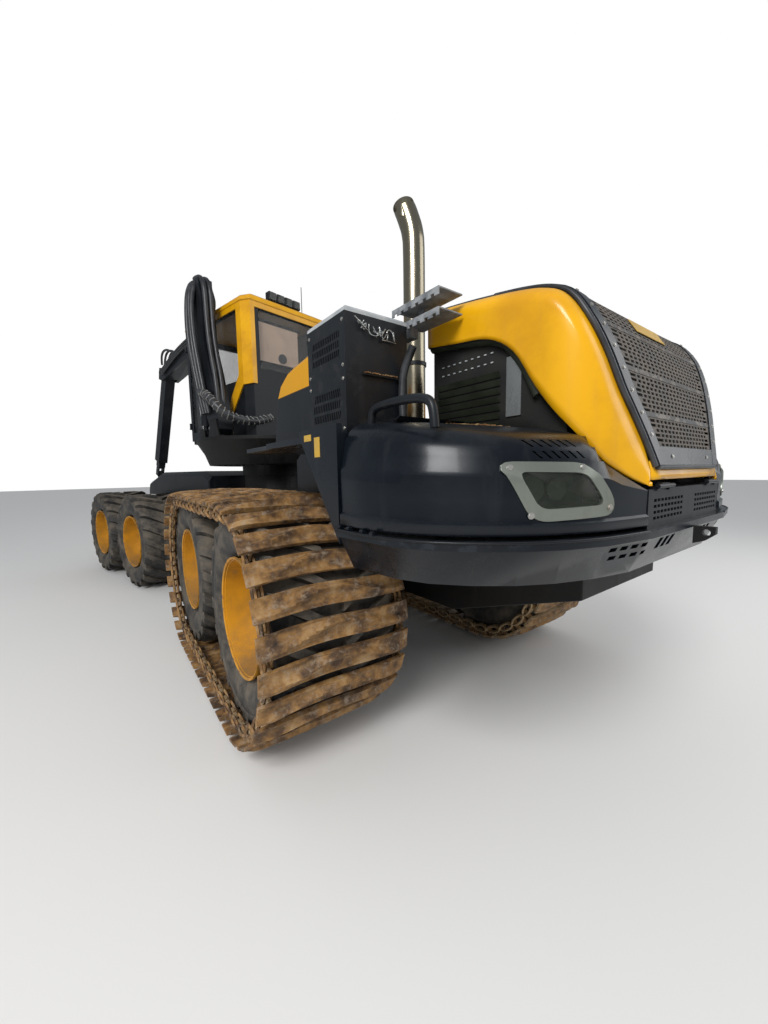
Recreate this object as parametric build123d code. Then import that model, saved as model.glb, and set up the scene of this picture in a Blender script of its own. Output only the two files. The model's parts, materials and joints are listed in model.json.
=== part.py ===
from build123d import *
import math
import os

# Forestry harvester, millimetres. It is drawn with y = 0 at the rear bogie, +Y to the rear,
# +X to its left and z = 0 on the ground, and is moved at the end so that the origin lies
# under the middle of the whole machine.

# Wheels and tracks
tyre_radius = 660
tyre_width = 700
lug_height = 38
lug_count = 16
rim_radius = 355
tyre_face = 1450
bogie_step = 1500
wheel_gap = 3000
track_height = 75
track_band = 22
shoe_count = 44
shoe_share = 0.62
shoe_width = 850
shoe_outer = 1545
rest_turn = 12.6
fit = 0.3
swing_gap = 12

# Rear frame, engine and covers
frame_half = 400
frame_low = 760
frame_high = 1180
rear_frame_front = -1250
rear_frame_back = 2250
cover_half = 1270
tail_y = 2500
cover_seam = 1700
cover_low = 1370
cover_wall = 25
cover_inner = 450
bumper_low = 1185
bumper_lip = 20
ledge_top = 1500
hood_half = 690
hood_wall = 24
hood_front = 1600
hood_crown = 2365
hood_hinge = (2500, 1510)
grille_half = 600
cooler_half = 590
deck_top = 1740
engine_seat = frame_high - 60
engine_high = 1850
stack_x = 250
stack_y = 1000
stack_radius = 72
stack_top = 3330

# Boxes and steps beside the hood
box_out = 80
box_wide = 330
box_front = 1300
box_back = 1640
box_seam = 2000
box_high = 2235
box_wall = 12
lid_thick = 25
step_gap = 15
step_wide = 145
step_high = 2345

# Slewing table and cab
table_radius = 1000
table_low = 1700
ring_low = 1560
cab_floor = 2030
cab_height = 1590
roof_rise = 120
cab_rear_half = 560
cab_half = 620
cab_back = 450
cab_corner = 1150
cab_nose = 1330
cab_wall = 45
glass_depth = 14
glass_thick = 10
pillar_skin = 16
door_front = 1130
door_wide = 700
door_thick = 30

# Front frame
nose_y = -3420
tank_half = 560
tank_high = 1640

# Crane: pivots are (y, z) in the crane's own straight frame
arm_inner = 730
arm_width = 170
lift_pivot = (90, 2190)
knee_high = 3945
fork_depth = 150
fork_end = -2080
elbow = (-3550, 3520)
stick_tip = (-4370, 1650)
boom_half = 150
lift_ram_base = (-330, 2110)
lift_ram_eye = (-235, 2790)
lift_retract = 20
stick_ram_base = (-2300, 3999)
stick_ram_eye = (-3810, 3670)
stick_retract = 445
pin_radius = 45
cylinder_radius = 62
eye_half = 35

# Head, measured down from the stick's tip
tilt_drop = 540
spine_drop = 700
spine_half = 170
drum_drop = 1480
drum_x = 255
drum_radius = 150

rear_axle_z = tyre_radius + track_height
bogie_half = bogie_step / 2
wheel_x = tyre_face - tyre_width / 2
pivot_y = -(wheel_gap + bogie_step) / 2
front_bogie_y = -(wheel_gap + bogie_step) / 2
shoe_inner = shoe_outer - shoe_width
cab_eaves = cab_floor + cab_height
lift_ram_x = arm_inner + arm_width / 2
box_x = cover_half - box_out
step_x = hood_half + step_gap
UP = (Align.CENTER, Align.CENTER, Align.MIN)
DOWN = (Align.CENTER, Align.CENTER, Align.MAX)


# Shape helpers

def block(x0, x1, y0, y1, z0, z1):
    return Pos((x0 + x1) / 2, (y0 + y1) / 2, (z0 + z1) / 2) * Box(x1 - x0, y1 - y0, z1 - z0)


def side_plate(points, x0, x1):
    """A (y, z) outline, extruded from x0 to x1."""
    face = make_face(Polyline(*[(x0, y, z) for y, z in points], close=True))
    return extrude(face, amount=x1 - x0, dir=(1, 0, 0))


def plan_plate(points, z0, z1):
    """An (x, y) outline, extruded from z0 to z1."""
    face = make_face(Polyline(*[(x, y, z0) for x, y in points], close=True))
    return extrude(face, amount=z1 - z0, dir=(0, 0, 1))


def rod(start, end, radius):
    start, end = Vector(*start), Vector(*end)
    return Plane(origin=start, z_dir=end - start) * Cylinder(radius, (end - start).length, align=UP)


def cross_pin(x0, x1, y, z, radius):
    return rod((x0, y, z), (x1, y, z), radius)


def turned(profile, x, y, z):
    """(offset, radius) points turned about a line along X through (x, y, z)."""
    face = make_face(Polyline(*[(dx, 0, r) for dx, r in profile], close=True))
    return Pos(x, y, z) * revolve(face, Axis.X, 360)


def pipe(points, radius, bend):
    path = FilletPolyline(*points, radius=bend)
    return sweep(Plane(origin=path @ 0, z_dir=path % 0) * Circle(radius), path=path)


def other_side(shape):
    return mirror(shape, about=Plane.YZ)


def pair(shape):
    return Compound([shape, other_side(shape)])


def solids(*shapes):
    return Compound([s for shape in shapes for s in shape.solids()])


# Wheels: half profiles as (offset from the wheel's middle, radius), outer face at +x

def tyre_body(tread):
    half = tyre_width / 2
    profile = [(-half + 60, rim_radius + 8), (-half, rim_radius + 90), (-half, tread - 90),
               (-half + 70, tread), (half - 70, tread), (half, tread - 90),
               (half, rim_radius + 90), (half - 60, rim_radius + 8)]
    return turned(profile, 0, 0, 0)


def lugged_tyre():
    """Tyre with two rows of slanted lugs that meet as arrows along the middle."""
    lugs = []
    for side in (-1, 1):
        for k in range(lug_count):
            turn = 360 * (k + 0.25 * side) / lug_count
            bar = Rot(0, 0, side * 32) * Box(400, 78, 4 * lug_height)
            lugs.append(Rot(turn, 0, 0) * Pos(side * 175, 0, tyre_radius - lug_height) * bar)
    tread = tyre_body(tyre_radius) & Compound(lugs)
    return (tyre_body(tyre_radius - lug_height) + tread.solids()).clean()


def rim(side, y, z):
    half = tyre_width / 2
    wall = 14
    profile = [(half - 20, rim_radius + 7), (half - 20, rim_radius - wall), (60, rim_radius - 50),
               (60, 150), (170, 130), (170, 0), (30, 0), (30, rim_radius - 50 + wall),
               (-half + 20, rim_radius - wall), (-half + 20, rim_radius + 7)]
    return turned([(side * dx, r) for dx, r in profile], side * wheel_x, y, z)


def track_point(length, radius):
    """(y, z) at this length along the loop's inner line, at this distance from it."""
    run, bend = bogie_step, math.pi * (tyre_radius + 1)
    length = length % (2 * (run + bend))
    if length < run:
        return length - bogie_half, radius
    if length < run + bend:
        a = math.pi / 2 - (length - run) / (tyre_radius + 1)
        return bogie_half + radius * math.cos(a), radius * math.sin(a)
    if length < 2 * run + bend:
        return bogie_half - (length - run - bend), -radius
    a = -math.pi / 2 - (length - 2 * run - bend) / (tyre_radius + 1)
    return -bogie_half + radius * math.cos(a), radius * math.sin(a)


def track(side):
    """One closed band with its cross shoes, round both rear wheels."""
    band, outer = tyre_radius + 1 + track_band, rear_axle_z
    pitch = 2 * (bogie_step + math.pi * (tyre_radius + 1)) / shoe_count
    start = bogie_half - pitch * shoe_share / 2
    points = []
    for k in range(shoe_count):
        low, high = start + k * pitch, start + (k + shoe_share) * pitch
        points += [track_point(low, band), track_point(low, outer), track_point(high, outer), track_point(high, band)]
    inside = extrude(Plane.YZ * SlotOverall(bogie_step + 2 * tyre_radius + 2, 2 * tyre_radius + 2), shoe_width)
    x0 = min(side * shoe_inner, side * shoe_outer)
    loop = side_plate(points, x0, x0 + shoe_width) - Pos(x0, 0, 0) * inside
    return Pos(0, 0, rear_axle_z) * loop


def bogie(y, z):
    """Both bogie beams with the stub axles that carry the wheels."""
    low, high, inner, outer = 190, 150, 470, 700
    beam = side_plate([(y - bogie_half - 210, z), (y - bogie_half - 120, z - low), (y + bogie_half + 120, z - low),
                       (y + bogie_half + 210, z), (y + bogie_half + 120, z + high), (y, z + high + 90),
                       (y - bogie_half - 120, z + high)], inner, outer)
    for end in (-bogie_half, bogie_half):
        beam += cross_pin(outer - 20, wheel_x + 30 - fit, y + end, z, 120)
    return pair(beam)


def frame_axle(y, z):
    return cross_pin(-470 + fit, 470 - fit, y, z + 20, 165)


# Rear frame with engine, covers and boxes

def rear_frame():
    rails = side_plate([(rear_frame_front, frame_high), (rear_frame_front, frame_low + 120), (-900, frame_low),
                        (1500, frame_low), (rear_frame_back, frame_low + 250), (rear_frame_back, frame_high)],
                       -frame_half, frame_half)
    rails -= block(-frame_half + 40, frame_half - 40, rear_frame_front + 60, rear_frame_back - 60,
                   frame_low + 60, frame_high + 10)
    rails -= cross_pin(-frame_half - 1, frame_half + 1, 0, rear_axle_z + 20, 165 + fit)
    for y in (420, 1330):
        rails += block(-frame_half + 39, frame_half - 39, y - 50, y + 50, engine_seat - 90, engine_seat)
    return rails


def engine():
    return block(-330, 330, 300, 1450, engine_seat + fit, engine_high)


def cooler():
    """Closed block of the coolers under the hood, standing on the frame."""
    feet = block(-frame_half + 5, frame_half - 5, 1590, cover_seam - 20, frame_high + fit, 1271)
    return block(-cooler_half, cooler_half, 1560, 2225, 1270, 2060) + feet


def tail_outline(grow, front):
    """Left half of the tail in plan, from the seam round the corner to the middle."""
    half, back = cover_half + grow, tail_y + grow
    corner = [(30, 490), (80, 370), (170, 260), (285, 165), (410, 95), (570, 40)]
    return [(half, front)] + [(half - x, back - y) for x, y in corner] + [(cover_inner, back)]


cover_levels = [  # z at the seam, fall to the rear per mm, pulled in, lowered inside
    (cover_low, 0, 0, -1),
    (1600, 0.06, 0, 10),
    (1730, 0.10, 36, cover_wall),
    (1792, 0.115, 190, cover_wall),
]


fold_axis = (cover_half + 6, cover_low - 7)
fold_at = (cover_seam + 20, cover_seam + 180)


def hood_room(low, high):
    """Space kept free of the covers for the hood, which narrows to the tail."""
    half = hood_half + swing_gap
    left = [(half, 1500), (half, 2262), (half - 15, 2325), (half - 60, 2378), (half - 109, 2416), (half - 186, 2456), (half - 242, 2484), (cover_inner, 2700)]
    return plan_plate(left + [(-x, y) for x, y in reversed(left)], low, high)


def cover_skin(inset, lowered, inner_edge):
    faces = []
    for z, fall, pull, drop in cover_levels:
        left = tail_outline(-inset - pull, cover_seam - inset)
        points = left + [(inner_edge, left[-1][1]), (inner_edge, cover_seam - inset)]
        height = z - (drop if lowered else 0)
        faces.append(make_face(Polyline(*[(x, y, height - fall * (y - cover_seam)) for x, y in points], close=True)))
    return loft(faces, ruled=True)


def hood_relief(grow):
    """Slope in the covers' inner tail end, under the sweep of the tilting hood."""
    line = [(2370, 1670), (2400, 1610), (2440, 1560), (2480, 1512), (2530, 1460), (2600, 1460)]
    return side_plate([(2330, 1900), (2330, 1745)] + [(y, z - grow) for y, z in line] + [(2600, 1900)], 300, 650 + grow)


def corner_cuts():
    """Slanted air slots above the lamp, and the lamp's window, in the tail's corner."""
    (x0, y0), (x1, y1) = tail_outline(0, cover_seam)[4:6]
    lean = math.degrees(math.atan2(y1 - y0, x1 - x0))
    cuts = []
    for row, z in ((0, 1651), (1, 1613)):
        for k in range(6):
            share = 0.12 + 0.23 * k + 0.07 * row
            centre = Pos(x0 + share * (x1 - x0), y0 + share * (y1 - y0), z)
            cuts.append(centre * Rot(0, 0, lean) * Rot(0, 24, 0) * Box(9, 160, 30))
    lens = [(996, 1566), (777, 1562), (713, 1458), (938, 1459)]
    face = make_face(Polyline(*[(x, tail_y - 300, z) for x, z in lens], close=True))
    cuts.append(extrude(face, amount=400, dir=(0, 1, 0)))
    return Compound(cuts)


def side_cover():
    """Swing-down cover of the left side, wrapped round the tail corner."""
    edge = cover_inner - 1
    shell = cover_skin(0, False, edge) - hood_relief(0)
    shell -= cover_skin(cover_wall, True, edge - 60) - hood_relief(cover_wall)
    shell -= hood_room(cover_low - 1, 1900)
    shell -= corner_cuts()
    x, z = fold_axis
    for y in fold_at:
        shell += block(x - 34, x, y, y + 44, z + 2, z + 12) + rod((x, y, z), (x, y + 44, z), 8)
    return shell


def bumper():
    def outline(grow):
        left = tail_outline(grow, cover_seam)
        return left + [(-x, y) for x, y in reversed(left)]

    def body(z0, z1, low_grow, high_grow):
        faces = [make_face(Polyline(*[(x, y, z) for x, y in outline(g)], close=True))
                 for z, g in ((z0, low_grow), (z1, high_grow))]
        return loft(faces, ruled=True)

    lip = cover_low - swing_gap - 4
    beam = body(bumper_low, lip - 28, -60, bumper_lip - 14) + plan_plate(outline(bumper_lip), lip - 28, lip)
    beam -= body(bumper_low - 1, lip - 28, -60 - 70, bumper_lip - 84)
    beam -= plan_plate(outline(bumper_lip - 84), lip - 29, lip + 1)
    holes = []
    for side in (-1, 1):
        for row in range(2):
            for k in range(4):
                x = side * (640 - 62 * k - 24 * row)
                holes.append(block(x - 20, x + 20, tail_y - 130, tail_y + 60, lip - 62 - 34 * row, lip - 46 - 34 * row))
        for k in range(3):
            x = side * (300 - 62 * k)
            holes.append(block(x - 20, x + 20, tail_y - 90, tail_y + 60, lip - 90, lip - 44))
    beam -= Compound(holes)
    x, z = fold_axis
    for y in fold_at:
        for start in (y - 20 - fit, y + 44 + fit):
            knuckle = block(x - 14, x + 6, start, start + 20, lip - 2, z) + rod((x, start, z), (x, start + 20, z), 8)
            beam += knuckle + other_side(knuckle)
    return beam + plan_plate(outline(-90), frame_high + fit, frame_high + 20)


def tail_panel():
    """Perforated panel under the hood's lip, with the hood's hinge lugs on its ledge."""
    half, back, low = cover_inner - swing_gap, tail_y - 8, cover_low - swing_gap - 4 + fit
    panel = block(-half, half, 2320, back, low, ledge_top) - block(-half + 30, half - 30, 2319, back - 24, low + 20, ledge_top - 20)
    holes = []
    for x_start in (-385, 85):
        for row in range(2):
            for k in range(5):
                x = x_start + 62 * k
                holes.append(block(x, x + 42, back - 30, back + 1, 1398 + 36 * row, 1416 + 36 * row))
    panel -= Compound(holes)
    y, z = hood_hinge
    for x in (-380, -260, 220, 340):
        panel += cross_pin(x, x + 40 - fit, y, z, 9) + block(x, x + 40 - fit, y - 24, y, z - 16, z - 4)
    return panel


def tow_eye():
    y = tail_y + bumper_lip + fit
    plate = side_plate([(y, 1255), (y + 40, 1270), (y + 75, 1300), (y + 75, 1330), (y, 1330)], -15, 15)
    return plate - cross_pin(-16, 16, y + 45, 1305, 14)


hood_sections = [  # y, crown z, low z, half width
    (hood_front, hood_crown, 2180, hood_half),
    (1960, hood_crown - 52, 2128, hood_half),
    (2085, hood_crown - 76, 2045, hood_half),
    (2180, hood_crown - 95, 1900, hood_half),
    (2255, hood_crown - 140, 1800, hood_half),
    (2320, hood_crown - 240, 1722, 668),
    (2370, hood_crown - 360, 1655, 630),
    (2410, hood_crown - 505, 1598, 585),
    (2450, hood_crown - 660, 1548, 500),
    (2478, hood_crown - 780, 1520, 436),
    (2488, hood_crown - 830, 1512, 430),
]
grille_edge = [(grille_half, 2500), (grille_half, 2130), (515, 1860), (430, 1705), (370, 1580), (365, 1480)]


def hood_shell(inset):
    faces = []
    for y, crown, low, half in hood_sections:
        w, c = half - inset, crown - inset
        y -= inset * (1.2 if y > 2200 else 0)
        c, low = max(c, low + 8), min(low, c)
        edge = min(80, (c - low) / 2)
        points = [(-w, low), (-w, c - edge), (-w + 70, c), (w - 70, c), (w, c - edge), (w, low)]
        if inset:
            points[0], points[-1] = (-w, low - 1), (w, low - 1)
        faces.append(make_face(Polyline(*[(x, y, z) for x, z in points], close=True)))
    return loft(faces, ruled=True)


def crown_line(lift, start, end):
    """The hood's top outline in side view from y = start to y = end, set out by lift."""
    profile = [(y, z) for y, z, low, half in hood_sections]
    inside = [(y, z) for y, z in profile if start < y < end]

    def height(y):
        for (y0, z0), (y1, z1) in zip(profile, profile[1:]):
            if y0 <= y <= y1:
                return z0 + (z1 - z0) * (y - y0) / (y1 - y0)

    line = [(start, height(start))] + inside + [(end, height(end))]
    out = []
    for k, (y, z) in enumerate(line):
        (ya, za), (yb, zb) = line[max(0, k - 1)], line[min(len(line) - 1, k + 1)]
        a0 = math.atan2(z - za, y - ya) if k else math.atan2(zb - z, yb - y)
        a1 = math.atan2(zb - z, yb - y) if k < len(line) - 1 else a0
        mid, half = (a0 + a1) / 2, (a1 - a0) / 2
        reach = lift / math.cos(half)
        out.append((y - reach * math.sin(mid), z + reach * math.cos(mid)))
    return out


def grille_shadow(inset):
    """The grille's outline seen from behind, narrowing to its foot, extruded through the tail."""
    left = [(x - inset, z) for x, z in grille_edge]
    face = make_face(Polyline(*[(x, 1800, z) for x, z in left + [(-x, z) for x, z in reversed(left)]], close=True))
    return extrude(face, amount=900, dir=(0, 1, 0))


def hood():
    """Yellow tilting hood: an open shell whose flanks sweep down to a lip at the tail."""
    shell = hood_shell(0) - hood_shell(hood_wall)
    window = crown_line(60, 2240, 2466) + list(reversed(crown_line(-120, 2240, 2466)))
    shell -= side_plate(window, -grille_half, grille_half) & grille_shadow(50)
    y, z = hood_hinge
    for x in (-340, 260):
        shell += cross_pin(x, x + 80 - fit, y, z, 9) + block(x, x + 80 - fit, y - 30, y, z + 2, z + 14)
    return shell


def grille():
    """Frame over the hood's top and slope, with rows of slots between plain bands."""
    outer, inner = crown_line(22, 1900, 2482), crown_line(fit, 1900, 2482)
    frame = side_plate(outer + list(reversed(inner)), -grille_half, grille_half) & grille_shadow(0)
    slope = crown_line(10, 2262, 2474)
    runs = [math.dist(a, b) for a, b in zip(slope, slope[1:])]
    rows, slots = 11, []
    for row in range(rows):
        if row in (3, 7):
            continue
        left = sum(runs) * (row + 0.6) / rows
        for (ya, za), (yb, zb), run in zip(slope, slope[1:], runs):
            if left <= run:
                break
            left -= run
        share = left / run
        lean = math.degrees(math.atan2(zb - za, yb - ya))
        z = za + share * (zb - za)
        half = next(x0 + (x1 - x0) * (z0 - z) / (z0 - z1) for (x0, z0), (x1, z1) in zip(grille_edge, grille_edge[1:]) if z1 <= z <= z0) - 60
        for k in range(5):
            x = (k - 2) * half * 0.4
            slots.append(Pos(x, ya + share * (yb - ya), z) * Rot(lean, 0, 0) * Box(half * 0.31, 26, 60))
    return frame - Compound(slots)


def exhaust():
    return pipe([(stack_x, stack_y, engine_high + fit), (stack_x, stack_y, stack_top - 170),
                 (stack_x + 35, stack_y - 50, stack_top)], stack_radius, 180)


def box_slots(low, x):
    """Three rows of slanted holes through the outer wall of a box."""
    holes = []
    for row in range(3):
        for k in range(5):
            y = box_front + 55 + 52 * k + 10 * row
            holes.append(Pos(x, y, low + 38 * row) * Rot(-25, 0, 0) * Box(40, 16, 28))
    return Compound(holes)


def side_boxes():
    x0, x1 = box_x - box_wide, box_x
    lower = block(x0, x1, box_front, box_back, deck_top + fit, box_seam - fit) - box_slots(deck_top + 70, x1)
    upper = block(x0, x1, box_front, box_back, box_seam, box_high)
    upper -= block(x0 + box_wall, x1 - box_wall, box_front + box_wall, box_back - box_wall, box_seam + box_wall, box_high + 1)
    upper -= box_slots(box_seam + 60, x1)
    return lower, upper


def box_lid():
    x0, x1 = box_x - box_wide, box_x
    lid = plan_plate([(x0, box_front), (x1, box_front), (x1, box_back), (x0, box_back)], box_high + fit, box_high + lid_thick)
    lid = chamfer(lid.faces().sort_by(Axis.Z)[-1].edges(), 12)
    y, z = box_front - 9, box_high + 9
    return lid + cross_pin(x0 + 40, x1 - 40, y, z, 8) + block(x0 + 40, x1 - 40, y, y + 11, z, z + 7)


def hood_steps():
    """Two toothed treads outside the hood's front corner, on a bent tube from the deck."""
    x0, x1 = step_x, step_x + step_wide
    treads = []
    for y0, y1, z in ((1520, 1835, step_high), (1580, 1835, step_high - 82)):
        tread = block(x0, x1, y0, y1, z - 6, z) + block(x1 - 5, x1, y0, y1, z - 34, z)
        teeth = [block(x1 - 6, x1 + 1, y0 + 16 + 50 * k, y0 + 38 + 50 * k, z - 35, z - 22) for k in range(int((y1 - y0) / 50))]
        treads.append(tread - Compound(teeth))
    mid = x0 + step_wide / 2
    tube = pipe([(mid, 1330, deck_top + fit), (mid, 1330, 2140), (mid, 1540, step_high - 88 - 22)], 20, 60)
    brace = block(mid - 22, mid + 22, 1520, 1600, step_high - 132, step_high - 82)
    link = block(x0 + 20, x0 + 45, 1600, 1640, step_high - 83, step_high - 5)
    return treads[0] + treads[1] + tube + brace + link


def service_deck():
    """Fixed panels in front of the covers on both sides, and the deck over the tracks."""
    back = cover_seam - 10
    panel = side_plate([(back, 1290), (back, deck_top + 35), (back - 350, deck_top + 30), (back - 350, deck_top + 5)],
                       cover_half - 25, cover_half)
    deck = block(600, cover_half - 25, 470, back, deck_top - 25, deck_top)
    lip = block(cover_half - 26, cover_half, 900, back - 349, deck_top - 25, deck_top + 5)
    lip += block(cover_half - 26, cover_half, back - 350, back, deck_top - 25, deck_top)
    post = block(cover_half - 60, cover_half - 25, back - 60, back, cover_low - swing_gap - 4 + fit, deck_top - 24)
    for y in (700, 1560):
        deck += block(frame_half + fit, 660, y, y + 60, 1090, 1170) + block(600, 660, y, y + 60, 1090, deck_top - 24)
    return pair(panel + deck + lip + post)


def pump_cover():
    """Low cover behind the slewing table, with a tall rounded cover on each side of it."""
    cap = side_plate([(-300, frame_high + fit), (-300, 1700), (200, 1990), (270, 1990), (270, frame_high + fit)], -560, 560)
    cap -= side_plate([(-270, frame_high), (-270, 1680), (210, 1960), (271, 1960), (271, frame_high)], -530, 530)
    edge = deck_top + fit
    cheek = side_plate([(490, edge), (480, 1960), (510, 2080), (590, 2180), (720, 2240), (1000, 2270), (1270, 2280), (1270, edge)], 860, 1060)
    cheek = chamfer(cheek.edges().filter_by(lambda e: e.center().X > 1055 and e.center().Z > 1960), 60)
    return solids(cap, cheek, other_side(cheek))


# Middle frame

def middle_frame():
    bed = block(-470, 470, pivot_y + 330, rear_frame_front - fit, 860, 1180)
    upper = block(-430, 430, pivot_y - 430, pivot_y + 700, 1210, 1390) + block(-470, 470, pivot_y + 330, pivot_y + 700, 1100, 1390)
    lower = block(-300, 300, pivot_y - 200, pivot_y + 400, 800, 860)
    base = Pos(0, pivot_y, 1390) * Cylinder(430, ring_low - fit - 1390, align=UP)
    pin = Pos(0, pivot_y, 800) * Cylinder(80 - fit, 500, align=UP)
    return bed + upper + lower + base + pin


# Front frame, drawn straight with the steering pin at the origin

def front_frame():
    rails = side_plate([(-600, 1180), (-600, 900), (-1300, 780), (-3100, 780), (nose_y, 950), (nose_y, 1240), (-700, 1240)],
                       -frame_half, frame_half)
    tongue = block(-220, 220, -620, 200, 900, 1180)
    frame = rails + tongue - Pos(0, 0, 800) * Cylinder(80, 500, align=UP)
    return frame - cross_pin(-frame_half - 1, frame_half + 1, front_bogie_y, tyre_radius + 20, 165 + fit)


def front_tank():
    tank = side_plate([(-900, 1240 + fit), (-900, 1560), (-1100, tank_high), (-2700, tank_high), (-3300, 1480), (-3380, 1240 + fit)],
                      -tank_half, tank_half)
    return chamfer(tank.edges().filter_by(lambda e: abs(e.center().X) > tank_half - 1 and e.center().Z > 1450), 50)


def clevis(x, gap, outline, plate=25):
    """Two ears either side of a cylinder's eye at x."""
    return side_plate(outline, x - gap - fit - plate, x - gap - fit) + side_plate(outline, x + gap + fit, x + gap + fit + plate)


# Slewing table and cab, drawn straight with the slewing axis at the origin

def slew_table():
    """Table on its ring, with a bracket on each side for the crane's arm and its cylinder."""
    top = cab_floor - fit
    points = [(0, ring_low), (450, ring_low), (450, table_low), (table_radius - 140, table_low), (table_radius - 90, table_low + 140),
              (table_radius, top - 40), (table_radius, top), (0, top)]
    face = make_face(Polyline(*[(r, 0, z) for r, z in points], close=True))
    table = revolve(face, Axis.Z, 360)
    y, z = lift_pivot
    foot, far = cab_floor, arm_inner + arm_width
    bracket = plan_plate([(arm_inner - 33, -425), (far - 20, -425), (far + 33, -260), (far + 33, 228), (arm_inner - 33, 228)], foot, foot + 15)
    for x in (arm_inner - fit - 25, far + fit):
        bracket += side_plate([(y - 130, foot + 1), (y - 70, z + 60), (y + 70, z + 60), (y + 130, foot + 1)], x, x + 25)
    bracket += cross_pin(arm_inner - 25, far + 25, y, z, pin_radius - fit)
    y, z = lift_ram_base
    bracket += clevis(lift_ram_x, eye_half, [(y - 80, foot + 1), (y - 55, z + 55), (y + 55, z + 55), (y + 80, foot + 1)], 18)
    return solids(table, bracket, other_side(bracket))


def cab_plan(z):
    """Corners of the left half in plan at height z, from the rear to the nose."""
    share = (z - cab_floor) / cab_height
    nose = -cab_nose - 170 * math.sin(math.pi * min(1, share * 1.1))
    return [(cab_rear_half, cab_back), (cab_half, cab_back - 120), (cab_half, -cab_corner), (430, nose)]


def cab_level(z, inset):
    left = [(x - inset, y - inset * math.copysign(1, y)) for x, y in cab_plan(z)]
    points = left + [(-x, y) for x, y in reversed(left)]
    return make_face(Polyline(*[(x, y, z) for x, y in points], close=True))


def cab_solid(inset, low, high):
    return loft([cab_level(z, inset) for z in (low, 2700, high)], ruled=True)


door_hinge = (cab_half + 44, -door_front - 11)
door_box = (-door_front, door_wide - door_front, cab_floor + 40, cab_eaves - 70)
window_boxes = [  # x0, x1, y0, y1, z0, z1
    (-460, 460, 200, 900, cab_floor + 830, cab_eaves - 70),
    (300, 900, door_box[1] + 60, 290, cab_floor + 700, cab_eaves - 70),
    (-900, -300, -1090, 290, cab_floor + 700, cab_eaves - 70),
    (-390, 390, -1700, -1100, cab_floor + 120, cab_eaves - 70),
]


def cab_shell():
    shell = cab_solid(0, cab_floor, cab_eaves) - cab_solid(cab_wall, cab_floor + 50, cab_eaves + 1)
    for box in window_boxes:
        shell -= block(*box)
    y0, y1, z0, z1 = door_box
    shell -= block(300, 900, y0 + 30, y1 - 30, z0 + 30, z1 - 30)
    for z in (z0 + 170, z1 - 230):
        shell += block(cab_half - 5, door_hinge[0] + 9, y0 - 21, y0 - 1, z, z + 20)
    return shell


def cab_glass():
    skin = cab_solid(glass_depth, cab_floor + 50, cab_eaves) - cab_solid(glass_depth + glass_thick, cab_floor + 49, cab_eaves + 1)
    return solids(*[skin & block(*box) for box in window_boxes])


def cab_pillars():
    """Yellow outer frame: rear pillars that kink forward at the foot, under one top rail."""
    skin = cab_solid(-pillar_skin, cab_floor, cab_eaves) - cab_solid(-fit, cab_floor - 1, cab_eaves + 1)
    frame = skin & block(-900, 900, -1700, 900, cab_eaves - 62, cab_eaves)
    knee = cab_floor + 760
    for side in (-1, 1):
        x0, x1 = sorted((side * (cab_rear_half - 40), side * 900))
        frame += skin & block(x0, x1, cab_back - 210, 900, knee, cab_eaves - 61)
        slant = side_plate([(cab_back - 210, knee + 1), (-60, cab_floor + 400), (-60, cab_floor + 200), (cab_back - 120, knee - 130),
                            (900, knee - 80), (900, knee + 1)], x0, x1)
        frame += skin & slant
    return frame


def cab_door():
    """Flat door laid over its opening, hung outside the cab's front corner."""
    y0, y1, z0, z1 = door_box
    x0 = cab_half + 3
    door = block(x0, x0 + door_thick, y0, y1, z0, z1) - block(x0 - 1, x0 + door_thick + 1, y0 + 70, y1 - 70, z0 + 120, z1 - 80)
    hinge_x, hinge_y = door_hinge
    for z in (z0 + 190 + fit, z1 - 210 + fit):
        door += rod((hinge_x, hinge_y, z), (hinge_x, hinge_y, z + 70), 9)
        door += block(x0 + 8, hinge_x, hinge_y, y0 + 5, z, z + 70)
    return door


def door_glass():
    y0, y1, z0, z1 = door_box
    x0 = cab_half + 3 + 10
    return block(x0, x0 + glass_thick, y0 + 70, y1 - 70, z0 + 120, z1 - 80)


def cab_top():
    rise = [(0, -30), (roof_rise * 0.55, -10), (roof_rise, 90)]
    base = cab_eaves + fit
    return loft([Pos(0, 0, base + up - cab_eaves) * cab_level(cab_eaves, inset) for up, inset in rise], ruled=True)


def seat():
    floor = cab_floor + 50 + fit
    return side_plate([(-250, floor), (-250, floor + 420), (130, floor + 420), (170, floor + 1120), (290, floor + 1120),
                       (280, floor + 320), (190, floor)], -260, 260)


# Crane, drawn straight and in its rest pose

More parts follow.
